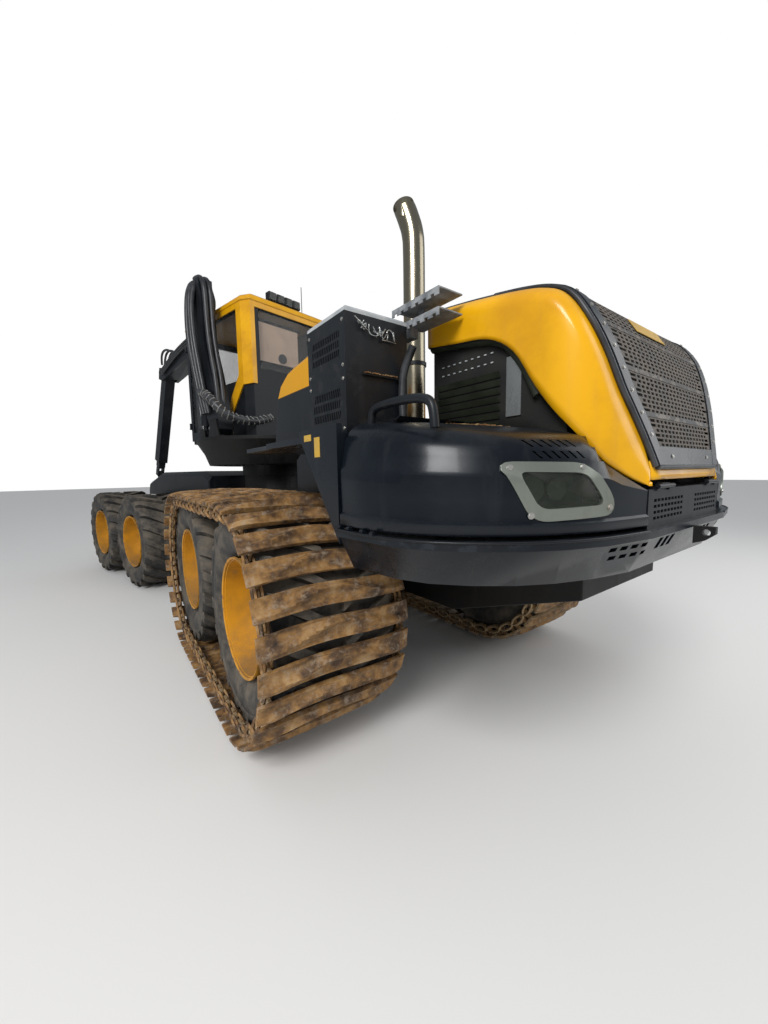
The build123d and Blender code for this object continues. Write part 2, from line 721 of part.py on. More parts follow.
def lift_boom():
    """Two upright arms that meet over the cab's roof and carry the beam to the elbow."""
    y, z = lift_pivot
    low = knee_high - fork_depth
    outline = [(y + 110, z - 60), (y + 125, z + 30), (y - 30, z + 620), (-70, z + 1000), (-75, low - 40), (-130, knee_high - 50),
               (-230, knee_high), (-330, knee_high - 30), (-385, knee_high - 130), (-385, z + 770), (-150, z + 660),
               (-105, z + 110), (y - 110, z - 60), (y - 50, z - 115), (y + 50, z - 115)]
    leg = side_plate(outline, arm_inner, arm_inner + arm_width)
    leg -= cross_pin(arm_inner - 1, arm_inner + arm_width + 1, y, z, pin_radius)
    ey, ez = lift_ram_eye
    leg += clevis(lift_ram_x, eye_half, [(-120, ez - 90), (-120, ez + 60), (ey - 50, ez + 55), (ey - 55, ez - 50), (ey + 30, ez - 70)], 18)
    x1, x0 = arm_inner + arm_width, arm_inner
    left = [(x1, -110), (x1, -400), (boom_half, fork_end)]
    right = [(-x, y) for x, y in reversed(left)]
    fork = plan_plate(left + right + [(-x0, -110), (-x0, -330), (-50, fork_end + 270), (50, fork_end + 270), (x0, -330), (x0, -110)], low, knee_high)
    ey, ez = elbow
    beam = side_plate([(fork_end + 250, low), (fork_end + 250, knee_high), (fork_end - 70, knee_high), (ey - 60, ez + 90), (ey - 90, ez - 60),
                       (ey + 60, ez - 110), (fork_end + 80, low - 150)], -boom_half, boom_half)
    by, bz = stick_ram_base
    ears = clevis(0, eye_half, [(by - 90, bz - 110), (by - 60, bz + 50), (by + 60, bz + 50), (by + 90, bz - 110)])
    boom = leg + other_side(leg) + fork + beam + ears
    boom -= block(-95, 95, ey - 220, ey + 190, ez - 250, ez + 250)
    return boom + cross_pin(-boom_half, boom_half, ey, ez, pin_radius - fit)


def stick_frame():
    """Length of the stick and the turn that lays it from the elbow to its tip."""
    (y0, z0), (y1, z1) = elbow, stick_tip
    return math.hypot(y1 - y0, z1 - z0), Pos(0, y0, z0) * Rot(math.degrees(math.atan2(y1 - y0, z0 - z1)), 0, 0)


def stick():
    length, place = stick_frame()
    tube = block(-85, 85, -110, 110, -length + 260, 120) - block(-62, 62, -82, 82, -length + 100, -200)
    tube -= cross_pin(-90, 90, 0, 0, pin_radius)
    (y0, z0), (hy, hz) = elbow, stick_ram_eye
    horn = clevis(0, eye_half, [(y0 - 60, z0 - 80), (hy - 50, hz - 30), (hy - 20, hz + 55), (hy + 50, hz + 45), (y0 + 60, z0 + 80)])
    horn -= cross_pin(-90, 90, y0, z0, pin_radius)
    return place * tube + horn


def extension():
    length, place = stick_frame()
    tube = block(-61, 61, -81, 81, -length + 140, -260) - block(-45, 45, -65, 65, -length + 180, -250)
    fork = block(-61, 61, -60, 60, -length - 60, -length + 141) - block(-36, 36, -82, 82, -length - 70, -length + 110)
    fork += cross_pin(-61, 61, 0, -length, 30 - fit)
    return place * (tube + fork)


# Head, drawn along y with the stick's tip at the origin, then hung across the crane

def hung(shape):
    return Pos(0, *stick_tip) * Rot(0, 0, 90) * shape


def link():
    y, z = stick_tip
    eye = block(-32, 32, y - 55, y + 55, z - 200, z + 40) - cross_pin(-40, 40, y, z, 30)
    return eye + block(-110, 110, y - 90, y + 90, z - 260, z - 200)


def rotator():
    body = Pos(0, 0, -260 - fit) * Cylinder(120, 180, align=DOWN)
    for x in (-118, 90):
        cheek = side_plate([(-75, -430), (75, -430), (60, -tilt_drop - 45), (-60, -tilt_drop - 45)], x, x + 28)
        body += cheek - cross_pin(x - 1, x + 29, 0, -tilt_drop, 30)
    return hung(body)


head_pins = [(215, 0, -spine_drop - 90), (230, -480, -spine_drop - 170)]


def head_frame():
    low = -spine_drop - 290
    spine = side_plate([(-560, -spine_drop - 140), (-300, -spine_drop), (300, -spine_drop), (500, -spine_drop - 120), (500, low), (-560, low)],
                       -spine_half, spine_half)
    saw_box = side_plate([(330, low + 20), (500, low + 20), (500, low - 460), (330, low - 300)], -250, 250)
    lug = side_plate([(-110, -spine_drop - 1), (-52, -tilt_drop + 40), (52, -tilt_drop + 40), (110, -spine_drop - 1)], -88, 88)
    head = spine + saw_box + lug + cross_pin(-118, 118, 0, -tilt_drop, 30 - fit)
    for x, y, z in head_pins:
        half = 90 if y == 0 else 35
        for start in (y - half - fit - 22, y + half + fit):
            lug = block(spine_half - 5, x + 50, start, start + 22, z - 50, z + 50)
            head += lug + other_side(lug)
    return hung(head)


def feed_roller(side):
    """A spiked drum on its swing arm."""
    x, y, pin = head_pins[0]
    drum = Pos(drum_x, y, -drum_drop) * Cylinder(drum_radius, 330, align=UP)
    spikes = []
    for k in range(12):
        turn = Rot(0, 0, 30 * k)
        spikes.append(Pos(drum_x, y, -drum_drop + 20) * turn * Pos(drum_radius + 6, 0, 145) * Box(24, 16, 290))
    arm = rod((x, y - 90, pin), (x, y + 90, pin), 30) + block(x - 12, drum_x + 50, y - 60, y + 60, pin - 28, pin + 28)
    post = Pos(drum_x, y, -drum_drop + 10) * Cylinder(50, pin + drum_drop - 10, align=UP)
    roller = drum + spikes + arm + post
    return hung(roller if side > 0 else other_side(roller))


def knife(side):
    """Curved delimbing knife, swung about a pin along the head."""
    x, y, pin = head_pins[1]
    half = (Cylinder(330, 60) - Cylinder(262, 61)) & Pos(200, 0, 0) * Box(400, 700, 70)
    blade = Pos(10, y, pin - 280) * Rot(90, 0, 0) * half
    blade -= block(-190, spine_half + 18, y - 120, y + 80, pin - 130, pin + 400)
    blade -= block(-700, 700, y - 120, y + 80, pin + 15, pin + 400)
    blade += rod((x, y - 35, pin), (x, y + 35, pin), 42)
    return hung(blade if side > 0 else other_side(blade))


def ram(x, start, end, retract, radius):
    """Barrel and rod of a cylinder between two (y, z) pins, that can still shorten by retract."""
    a, b = Vector(x, *start), Vector(x, *end)
    along = (b - a).normalized()
    length = (b - a).length
    neck, bottom, wall = 100, 130, 14
    barrel_end = length - retract - 65
    barrel = rod(a + along * neck, a + along * barrel_end, radius)
    barrel -= rod(a + along * bottom, a + along * (barrel_end + 1), radius - wall)
    barrel += rod(a, a + along * (neck + 1), eye_half - 3) + cross_pin(x - eye_half, x + eye_half, *start, 50)
    rod_start = bottom + retract + 3
    piston = rod(a + along * rod_start, b, eye_half - 3) + cross_pin(x - eye_half, x + eye_half, *end, 45)
    piston += rod(a + along * rod_start, a + along * (rod_start + 30), radius - wall - fit)
    return barrel, piston


nodes = {}


def rear(name, shape):
    nodes[name] = shape


def turned_part(name, shape):
    nodes[name] = Pos(0, pivot_y, 0) * Rot(0, 0, rest_turn) * shape


rear("rear_frame", rear_frame())
rear("rear_axle", frame_axle(0, rear_axle_z))
rear("rear_bogies", bogie(0, rear_axle_z))
inner_tyre = tyre_body(tyre_radius)
for side, tag in ((1, "left"), (-1, "right")):
    wheels = (-bogie_half, bogie_half)
    rear(f"rear_tyres_{tag}", solids(*[Pos(side * wheel_x, y, rear_axle_z) * inner_tyre for y in wheels]))
    rear(f"rear_rims_{tag}", solids(*[rim(side, y, rear_axle_z) for y in wheels]))
    rear(f"track_{tag}", track(side))
rear("engine", engine())
rear("cooler", cooler())
rear("bumper", bumper())
rear("tail_panel", tail_panel())
rear("tow_eye", tow_eye())
rear("side_cover_left", side_cover())
rear("side_cover_right", other_side(side_cover()))
rear("service_deck", service_deck())
rear("hood", hood())
rear("grille", grille())
rear("exhaust", exhaust())
rear("hood_steps", hood_steps())
lower_box, upper_box = side_boxes()
rear("side_box_lower", lower_box)
rear("side_box_upper", upper_box)
rear("box_lid", box_lid())
rear("pump_cover", pump_cover())
rear("middle_frame", middle_frame())

turned_part("front_frame", front_frame())
turned_part("front_tank", front_tank())
turned_part("front_axle", frame_axle(front_bogie_y, tyre_radius))
turned_part("front_bogies", bogie(front_bogie_y, tyre_radius))
outer_tyre = lugged_tyre()
for side, tag in ((1, "left"), (-1, "right")):
    for number, shift in ((1, -bogie_half), (2, bogie_half)):
        turned_part(f"front_tyre_{tag}_{number}", Pos(side * wheel_x, front_bogie_y + shift, tyre_radius) * outer_tyre)
        turned_part(f"front_rim_{tag}_{number}", rim(side, front_bogie_y + shift, tyre_radius))

turned_part("slew_table", slew_table())
turned_part("cab_shell", cab_shell())
turned_part("cab_glass", cab_glass())
turned_part("cab_pillars", cab_pillars())
turned_part("cab_roof", cab_top())
turned_part("cab_door", cab_door())
turned_part("door_glass", door_glass())
turned_part("seat", seat())
turned_part("lift_boom", lift_boom())
barrel, piston = ram(lift_ram_x, lift_ram_base, lift_ram_eye, lift_retract, cylinder_radius)
turned_part("lift_barrels", pair(barrel))
turned_part("lift_rods", pair(piston))
barrel, piston = ram(0, stick_ram_base, stick_ram_eye, stick_retract, cylinder_radius - 7)
turned_part("stick_barrel", barrel)
turned_part("stick_rod", piston)
turned_part("stick", stick())
turned_part("extension", extension())
turned_part("link", link())
turned_part("rotator", rotator())
turned_part("head_frame", head_frame())
for side, tag in ((1, "left"), (-1, "right")):
    turned_part(f"feed_roller_{tag}", feed_roller(side))
    turned_part(f"knife_{tag}", knife(side))

whole = Compound([s for shape in nodes.values() for s in shape.solids()]).bounding_box()
origin = Vector(-(whole.min.X + whole.max.X) / 2, -(whole.min.Y + whole.max.Y) / 2, -whole.min.Z)
os.makedirs("parts", exist_ok=True)
for name, shape in nodes.items():
    export_step(Pos(*origin) * shape, f"parts/{name}.step")
print("origin moved by", origin, "whole size", whole.size)
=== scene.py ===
import json
import math
import random

import bmesh
import bpy
from mathutils import Matrix, Vector


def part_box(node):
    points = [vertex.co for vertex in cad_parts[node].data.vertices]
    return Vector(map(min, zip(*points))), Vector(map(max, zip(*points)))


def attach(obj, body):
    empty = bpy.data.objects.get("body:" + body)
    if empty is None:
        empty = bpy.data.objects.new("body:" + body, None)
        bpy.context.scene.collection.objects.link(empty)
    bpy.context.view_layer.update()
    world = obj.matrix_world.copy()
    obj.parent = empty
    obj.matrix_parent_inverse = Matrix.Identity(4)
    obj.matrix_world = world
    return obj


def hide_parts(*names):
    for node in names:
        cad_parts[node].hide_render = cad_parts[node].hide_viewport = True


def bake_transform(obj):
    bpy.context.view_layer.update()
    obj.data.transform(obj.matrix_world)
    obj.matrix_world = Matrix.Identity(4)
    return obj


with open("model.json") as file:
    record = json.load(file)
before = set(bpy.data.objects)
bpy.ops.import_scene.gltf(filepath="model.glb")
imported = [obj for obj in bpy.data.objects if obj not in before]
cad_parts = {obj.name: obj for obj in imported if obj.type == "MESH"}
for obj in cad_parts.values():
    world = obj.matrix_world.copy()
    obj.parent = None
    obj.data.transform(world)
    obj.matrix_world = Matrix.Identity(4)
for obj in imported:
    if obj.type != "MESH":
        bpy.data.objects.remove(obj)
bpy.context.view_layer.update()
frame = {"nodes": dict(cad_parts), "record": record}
record = frame["record"]
joints = {joint["name"]: joint for joint in record["behaviour"]["joints"]}
slots = {row["slot"] for row in record["materials"]}


# Places: sizes are metres in the rear frame's own axes, or in the crane's straight axes

def boxCentre(node):
    low, high = (Vector(corner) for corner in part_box(node))
    return (low + high) / 2


rearOrigin = boxCentre("rear_axle")
slewOrigin = Vector(joints["crane_slew"]["pos_m"])
sideways = Vector(joints["wheel_left_1_spin"]["axis"])
craneTurn = math.atan2(sideways.y, sideways.x)
rearPlace = Matrix.Translation((rearOrigin.x, rearOrigin.y, 0))
cranePlace = Matrix.Translation((slewOrigin.x, slewOrigin.y, 0)) @ Matrix.Rotation(craneTurn, 4, "Z")


# Camera: found from the wheels, tracks and tail in the photograph

view = {"focal": 382.6, "height": 1024, "place": (2.038, 3.032, 1.578),
        "yaw": 36.58, "pitch": -5.92, "roll": -0.92}


def addCamera():
    yaw, pitch, roll = (math.radians(view[key]) for key in ("yaw", "pitch", "roll"))
    ahead = Vector((-math.sin(yaw) * math.cos(pitch), -math.cos(yaw) * math.cos(pitch), math.sin(pitch)))
    level = ahead.cross(Vector((0, 0, 1))).normalized()
    upright = level.cross(ahead)
    right = math.cos(roll) * level + math.sin(roll) * upright
    up = math.cos(roll) * upright - math.sin(roll) * level
    camera = bpy.data.objects.new("camera", bpy.data.cameras.new("camera"))
    camera.matrix_world = Matrix((right, up, -ahead)).transposed().to_4x4()
    camera.matrix_world.translation = rearPlace @ Vector(view["place"])
    camera.data.sensor_fit = "VERTICAL"
    camera.data.sensor_height = 36
    camera.data.lens = view["focal"] / view["height"] * camera.data.sensor_height
    camera.data.clip_start = 0.05
    bpy.context.scene.collection.objects.link(camera)
    bpy.context.scene.camera = camera


# Shader maths: a socket that can stand in a sum

class Wire:
    def __init__(self, tree, socket=None):
        self.tree = tree
        self.socket = socket

    def make(self, kind, settings=None, inputs=None, output=0):
        node = self.tree.nodes.new("ShaderNode" + kind)
        for key, value in (settings or {}).items():
            if key == "stops":
                elements = node.color_ramp.elements
                elements.remove(elements[1])
                for k, (place, colour) in enumerate(value):
                    element = elements.new(place) if k else elements[0]
                    element.position = place
                    element.color = (*colour, 1)
            else:
                setattr(node, key, value)
        for key, value in (inputs or {}).items():
            if isinstance(value, Wire):
                self.tree.links.new(value.socket, node.inputs[key])
            else:
                colour = isinstance(value, tuple) and len(value) == 3 and node.inputs[key].type == "RGBA"
                node.inputs[key].default_value = (*value, 1) if colour else value
        return Wire(self.tree, None if output is None else node.outputs[output])

    def sum(self, operation, first, second):
        return self.make("Math", {"operation": operation}, {0: first, 1: second})

    def __add__(self, other):
        return self.sum("ADD", self, other)

    def __sub__(self, other):
        return self.sum("SUBTRACT", self, other)

    def __rsub__(self, other):
        return self.sum("SUBTRACT", other, self)

    def __mul__(self, other):
        return self.sum("MULTIPLY", self, other)

    __radd__ = __add__
    __rmul__ = __mul__

    def step(self, low, high):  # 0 below low, 1 above high
        return self.make("MapRange", {"interpolation_type": "SMOOTHSTEP"},
                         {"Value": self, "From Min": low, "From Max": high})

    def blend(self, first, second):  # the first colour at 0, the second at 1
        return self.make("Mix", {"data_type": "RGBA"}, {0: self, 6: first, 7: second}, 2)


def newMaterial(name):
    material = bpy.data.materials.new(name)
    material.use_nodes = True
    material.node_tree.nodes.clear()
    return material, Wire(material.node_tree)


def places(start):
    return start.make("TexCoord", output="Object")


def noise(start, scale, detail=4, rough=0.6, stretch=None):
    where = places(start)
    if stretch:
        where = start.make("Mapping", {}, {"Vector": where, "Scale": stretch})
    inputs = {"Vector": where, "Scale": scale, "Detail": detail, "Roughness": rough}
    return start.make("TexNoise", {}, inputs, "Fac")


def facingUp(start):
    normal = start.make("NewGeometry", output="Normal")
    return start.make("SeparateXYZ", {}, {0: normal}, 2)


def edgeWear(start):
    return start.make("NewGeometry", output="Pointiness")


def finishMaterial(start, inputs, bump=None, strength=0.3, distance=0.002):
    if bump:
        relief = {"Strength": strength, "Distance": distance, "Height": bump}
        inputs["Normal"] = start.make("Bump", {}, relief)
    shader = start.make("BsdfPrincipled", {}, inputs)
    start.make("OutputMaterial", {}, {0: shader}, None)


paints = {
    "yellow_paint": dict(base=(0.74, 0.37, 0.004), faded=(0.58, 0.27, 0.004), rough=0.3, coat=0.3,
                         dust=(0.3, 0.2, 0.09), dusty=0.1, worn=(0.3, 0.15, 0.04)),
    "dark_paint": dict(base=(0.006, 0.0075, 0.01), faded=(0.011, 0.013, 0.016), rough=0.36, coat=0.06,
                       dust=(0.07, 0.065, 0.06), dusty=0.1, worn=(0.014, 0.015, 0.017)),
    "cover_grey": dict(base=(0.003, 0.0048, 0.008), faded=(0.006, 0.009, 0.013), rough=0.24, coat=0.1,
                       dust=(0.06, 0.062, 0.065), dusty=0.08, worn=(0.012, 0.015, 0.02)),
    "frame_black": dict(base=(0.005, 0.005, 0.005), faded=(0.009, 0.0085, 0.008), rough=0.5, coat=0.03,
                        dust=(0.05, 0.044, 0.037), dusty=0.16, worn=(0.02, 0.016, 0.013)),
    "rim_yellow": dict(base=(0.6, 0.27, 0.012), faded=(0.38, 0.18, 0.02), rough=0.5, coat=0.1,
                       dust=(0.17, 0.12, 0.07), dusty=0.42, worn=(0.2, 0.1, 0.04)),
    "grille_metal": dict(base=(0.03, 0.032, 0.034), faded=(0.06, 0.05, 0.042), rough=0.5, coat=0.05,
                         dust=(0.2, 0.15, 0.11), dusty=0.3, worn=(0.14, 0.12, 0.1)),
}


def paint(name, look, above=None):  # above: a height from which the paint is yellow
    material, start = newMaterial(name)
    patches = noise(start, 3.2, 5).step(0.35, 0.7)
    specks = noise(start, 95, 3)
    lying = facingUp(start) * 0.6 + noise(start, 7, 6, 0.7) * 0.9 + specks * 0.25 - 0.75
    dust = lying.step(0.0, 0.7) * (look["dusty"] * 2)
    streaks = noise(start, 14, 3, 0.6, (1, 1, 0.08)).step(0.55, 0.75) * look["dusty"]
    rubbed = (edgeWear(start) + noise(start, 40, 3) * 0.06).step(0.58, 0.66)
    worn = rubbed * noise(start, 17, 5).step(0.5, 0.62)
    colour = patches.blend(look["base"], look["faded"])
    if above:
        height = start.make("SeparateXYZ", {}, {0: places(start)}, 2)
        colour = height.step(above, above + 0.006).blend(colour, paints["yellow_paint"]["faded"])
    colour = worn.blend(colour, look["worn"])
    grime = dust.make("Math", {"operation": "MAXIMUM"}, {0: dust, 1: streaks})
    colour = grime.blend(colour, look["dust"])
    rough = patches * 0.08 + grime * 0.45 + look["rough"]
    finishMaterial(start, {"Base Color": colour, "Roughness": rough, "Coat Weight": look["coat"],
                           "Coat Roughness": 0.1, "Specular IOR Level": 0.24},
                   specks * 0.3 + noise(start, 18, 4) * 0.5, 0.08)
    return material


def rust():
    material, start = newMaterial("track_steel")
    stops = [(0.28, (0.02, 0.013, 0.009)), (0.42, (0.1, 0.052, 0.022)),
             (0.56, (0.27, 0.14, 0.042)), (0.7, (0.4, 0.26, 0.12))]
    tones = start.make("ValToRGB", {"stops": stops}, {"Fac": noise(start, 9, 6, 0.65)})
    mud = noise(start, 21, 8, 0.75).step(0.5, 0.66)
    colour = (mud * 0.7).blend(tones, (0.32, 0.25, 0.18))
    rubbed = (edgeWear(start) + noise(start, 30, 3) * 0.08).step(0.56, 0.64)
    colour = rubbed.blend(colour, (0.42, 0.3, 0.17))
    rough = 0.72 - rubbed * 0.34 + mud * 0.15
    finishMaterial(start, {"Base Color": colour, "Metallic": rubbed * 0.5, "Roughness": rough},
                   noise(start, 120, 4) * 0.6 + noise(start, 25, 6), 0.5, 0.004)
    return material


def rubber():
    material, start = newMaterial("tyre_rubber")
    dust = (noise(start, 6, 7, 0.7) + facingUp(start) * 0.12).step(0.36, 0.72)
    colour = dust.blend((0.016, 0.016, 0.016), (0.13, 0.108, 0.082))
    finishMaterial(start, {"Base Color": colour, "Roughness": dust * 0.25 + 0.62},
                   noise(start, 60, 5), 0.4, 0.003)
    return material


def bare(name, base, rough, metallic=1.0, marks=(0.2, 0.13, 0.06), share=0.3):
    material, start = newMaterial(name)
    stain = noise(start, 6, 6, 0.65, (1, 1, 0.3)).step(0.45, 0.75) * share
    inputs = {"Base Color": stain.blend(base, marks), "Metallic": metallic, "Roughness": stain * 0.5 + rough}
    finishMaterial(start, inputs, noise(start, 70, 3), 0.1)
    return material


def glass(name, tint, alpha):
    material, start = newMaterial(name)
    smears = noise(start, 5, 6, 0.7).step(0.45, 0.8)
    colour = smears.blend(tint, (0.12, 0.115, 0.105))
    finishMaterial(start, {"Base Color": colour, "Roughness": smears * 0.25 + 0.05,
                           "Alpha": smears * 0.08 + alpha, "Coat Weight": 0.5})
    return material


def plain(name, base, second, rough, scale=12, strength=0.2):
    material, start = newMaterial(name)
    mix = noise(start, scale, 5).step(0.35, 0.7)
    inputs = {"Base Color": mix.blend(base, second), "Roughness": mix * 0.15 + rough}
    finishMaterial(start, inputs, noise(start, scale * 8, 4), strength)
    return material


def makeMaterials():
    looks = {name: paint(name, look) for name, look in paints.items()}
    looks["cheek_paint"] = paint("cheek_paint", paints["dark_paint"], 2.06)
    looks["track_steel"] = rust()
    looks["tyre_rubber"] = rubber()
    looks["chrome_rod"] = bare("chrome_rod", (0.72, 0.72, 0.72), 0.14, share=0.15)
    looks["stack_steel"] = bare("stack_steel", (0.34, 0.3, 0.22), 0.2, 1.0, (0.1, 0.08, 0.05), 0.5)
    looks["glass_dark"] = glass("glass_dark", (0.012, 0.014, 0.016), 0.24)
    looks["seat_fabric"] = plain("seat_fabric", (0.02, 0.02, 0.022), (0.032, 0.032, 0.0352), 0.85, 60)
    looks["hose"] = plain("hose_rubber", (0.017, 0.018, 0.02), (0.04, 0.042, 0.046), 0.34, 8, 0.25)
    looks["frame_alloy"] = bare("frame_alloy", (0.27, 0.29, 0.25), 0.36, 0.8, (0.15, 0.16, 0.12), 0.4)
    looks["lamp_glass"] = glass("lamp_glass", (0.03, 0.036, 0.026), 0.42)
    looks["blind"] = plain("blind", (0.9, 0.66, 0.5), (0.82, 0.6, 0.45), 0.8, 3, 0.1)
    looks["litter"] = plain("litter", (0.16, 0.07, 0.022), (0.3, 0.2, 0.09), 0.9, 30, 0.5)
    looks["label"] = plain("label", (0.5, 0.3, 0.03), (0.42, 0.26, 0.05), 0.5, 20, 0.05)
    looks["bolt"] = bare("bolt", (0.5, 0.49, 0.46), 0.35, 0.9)
    looks["grille_dust"] = plain("grille_dust", (0.055, 0.047, 0.039), (0.12, 0.097, 0.077), 0.6, 14, 0.3)
    looks["bay"] = plain("bay", (0.004, 0.004, 0.004), (0.012, 0.013, 0.009), 0.8, 10)
    looks["olive"] = plain("olive", (0.02, 0.025, 0.016), (0.034, 0.04, 0.027), 0.35, 9, 0.1)
    looks["step_grey"] = plain("step_grey", (0.13, 0.14, 0.15), (0.28, 0.29, 0.3), 0.42, 22, 0.3)
    looks["trim"] = bare("trim", (0.42, 0.43, 0.42), 0.22, 0.85, (0.12, 0.12, 0.11), 0.4)
    looks["pale"] = plain("pale", (0.3, 0.32, 0.34), (0.42, 0.43, 0.43), 0.4, 11, 0.15)
    looks["wrap"] = plain("wrap", (0.24, 0.235, 0.22), (0.1, 0.1, 0.095), 0.5, 25)
    return looks


# Pieces: each rides a body and may stand for a node of the frame

def bodyOf(node):
    return next(body for body, nodes in record["behaviour"]["bodies"].items() if node in nodes)


def slotOf(node):
    return next(row["material_slot"] for row in record["subparts"] if row["node"] == node)


def addObject(name, data, material, body, instead=None):
    piece = bpy.data.objects.new(name, data)
    bpy.context.scene.collection.objects.link(piece)
    data.materials.clear()
    data.materials.append(looks[material])
    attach(piece, body)
    if instead:
        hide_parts(instead)
    return piece


def meshPiece(name, shapes, material, body, slot=None, smooth=35, place=rearPlace, instead=None):
    vertices, faces = [], []
    for points, polygons in shapes:
        base = len(vertices)
        vertices += [tuple(place @ Vector(p)) for p in points]
        faces += [tuple(base + k for k in polygon) for polygon in polygons]
    mesh = bpy.data.meshes.new(name)
    mesh.from_pydata(vertices, [], faces)
    mesh.validate()
    mesh.shade_smooth()
    mesh.set_sharp_from_angle(angle=math.radians(smooth))
    slot = slot or (material if material in slots else "frame_black")
    return addObject(name, mesh, material, body, instead)


def tube(name, points, radius, material, body, order=3, sides=3, place=rearPlace):
    curve = bpy.data.curves.new(name, "CURVE")
    curve.dimensions = "3D"
    curve.bevel_depth = radius
    curve.bevel_resolution = sides
    curve.use_fill_caps = True
    curve.resolution_u = 10
    spline = curve.splines.new("NURBS")
    spline.points.add(len(points) - 1)
    for point, spot in zip(spline.points, points):
        point.co = (*(place @ Vector(spot)), 1)
    spline.order_u = order
    spline.use_endpoint_u = True
    return addObject(name, curve, material, body)


def dressed(node, width, material):  # the node's own shape with its edges broken
    work = bmesh.new()
    work.from_mesh(frame["nodes"][node].data)
    bmesh.ops.remove_doubles(work, verts=work.verts, dist=1e-5)
    bmesh.ops.dissolve_limit(work, angle_limit=math.radians(1.2), verts=work.verts, edges=work.edges)
    mesh = bpy.data.meshes.new(node)
    work.to_mesh(mesh)
    work.free()
    mesh.shade_smooth()
    mesh.set_sharp_from_angle(angle=math.radians(32))
    slot = slotOf(node)
    piece = addObject(node + "_dressed", mesh, material or slot, bodyOf(node), node)
    bevel(piece, width, 2, 32)


def bevel(piece, width, segments=2, angle=35):
    modifier = piece.modifiers.new("edges", "BEVEL")
    modifier.width = width
    modifier.segments = segments
    modifier.limit_method = "ANGLE"
    modifier.angle_limit = math.radians(angle)
    modifier.harden_normals = True


def thicken(piece, depth):  # a wall inward from a skin
    modifier = piece.modifiers.new("wall", "SOLIDIFY")
    modifier.thickness = depth
    modifier.offset = -1


def cut(piece, shapes):  # the piece's final form less these closed shapes
    vertices, faces = [], []
    for points, polygons in shapes:
        base = len(vertices)
        vertices += [tuple(p) for p in points]
        faces += [tuple(base + k for k in polygon) for polygon in polygons]
    cutter = bpy.data.objects.new("cutter", bpy.data.meshes.new("cutter"))
    cutter.data.from_pydata(vertices, [], faces)
    bpy.context.scene.collection.objects.link(cutter)
    modifier = piece.modifiers.new("holes", "BOOLEAN")
    modifier.operation = "DIFFERENCE"
    modifier.solver = "EXACT"
    modifier.object = cutter
    graph = bpy.context.evaluated_depsgraph_get()
    mesh = bpy.data.meshes.new_from_object(piece.evaluated_get(graph))
    piece.modifiers.clear()
    piece.data = mesh
    mesh.shade_smooth()
    mesh.set_sharp_from_angle(angle=math.radians(35))
    bpy.data.objects.remove(cutter)


# Shapes: points and polygons, before they become a mesh

def skin(rows):  # an open surface over rows of like points
    count = len(rows[0])
    points = [p for row in rows for p in row]
    return points, [(i * count + k, i * count + k + 1, (i + 1) * count + k + 1, (i + 1) * count + k)
                    for i in range(len(rows) - 1) for k in range(count - 1)]


def fan(ring):
    middle = sum((Vector(p) for p in ring), Vector()) / len(ring)
    return [middle] + list(ring), [(0, k + 1, (k + 1) % len(ring) + 1) for k in range(len(ring))]


def loop(sections, closed=True, caps=True):  # skin over sections that are closed rings of like points
    count, points, polygons = len(sections[0]), [], []
    for section in sections:
        points += section
    for i in range(len(sections) - (0 if closed else 1)):
        j = (i + 1) % len(sections)
        for k in range(count):
            m = (k + 1) % count
            polygons.append((i * count + k, i * count + m, j * count + m, j * count + k))
    if not closed and caps:
        last = (len(sections) - 1) * count
        polygons += [tuple(reversed(range(count))), tuple(range(last, last + count))]
    return points, polygons


def facing(shape, centre):  # the faces turned away from this point
    points, polygons = shape
    total = 0
    for polygon in polygons:
        a, b, c = (Vector(points[k]) for k in polygon[:3])
        total += (b - a).cross(c - a).dot((a + b + c) / 3 - Vector(centre))
    return (points, [tuple(reversed(polygon)) for polygon in polygons]) if total < 0 else shape


def moved(shape, matrix):
    points, polygons = shape
    return [matrix @ Vector(p) for p in points], polygons


def mirrored(shape):
    points, polygons = shape
    return [Vector((-p[0], p[1], p[2])) for p in points], [tuple(reversed(polygon)) for polygon in polygons]


def onSide(shapes, side):  # shapes made for the left, or their mirror on the right
    return shapes if side > 0 else [mirrored(shape) for shape in shapes]


def circle(radius, count):
    angles = [2 * math.pi * k / count for k in range(count)]
    return [(radius * math.cos(a), radius * math.sin(a)) for a in angles]


def turnedShape(profile, steps=64):  # (offset, radius) points turned about X, as a closed ring
    return loop([[Vector((dx, r * a, r * b)) for dx, r in profile] for a, b in circle(1, steps)])


def boxShape(x0, x1, y0, y1, z0, z1):
    points = [Vector((x, y, z)) for x in (x0, x1) for y in (y0, y1) for z in (z0, z1)]
    return points, [(0, 1, 3, 2), (4, 6, 7, 5), (0, 4, 5, 1), (2, 3, 7, 6), (0, 2, 6, 4), (1, 5, 7, 3)]


def rodShape(start, end, radius, sides=10):
    start, end = Vector(start), Vector(end)
    across = (end - start).to_track_quat("Z", "Y").to_matrix()
    ring = [across @ Vector((a, b, 0)) for a, b in circle(radius, sides)]
    return loop([[p + centre for p in ring] for centre in (start, end)], closed=False)


def boltShapes(centres, normal, size=0.012, height=0.008):  # hexagon heads with a washer
    shapes = []
    for centre in centres:
        shapes.append(rodShape(centre, Vector(centre) + Vector(normal) * height * 0.3, size * 1.35, 12))
        shapes.append(rodShape(centre, Vector(centre) + Vector(normal) * height, size, 6))
    return shapes


def plateShape(surface, t0, t1, x0, x1, wall, lift=0):  # a small plate laid on a surface
    corners = ((t0, x0), (t0, x1), (t1, x1), (t1, x0))
    points = [surface(t, x, lift - depth) for depth in (0, wall) for t, x in corners]
    return points, [(0, 1, 2, 3), (7, 6, 5, 4), (0, 4, 5, 1), (1, 5, 6, 2), (2, 6, 7, 3), (3, 7, 4, 0)]


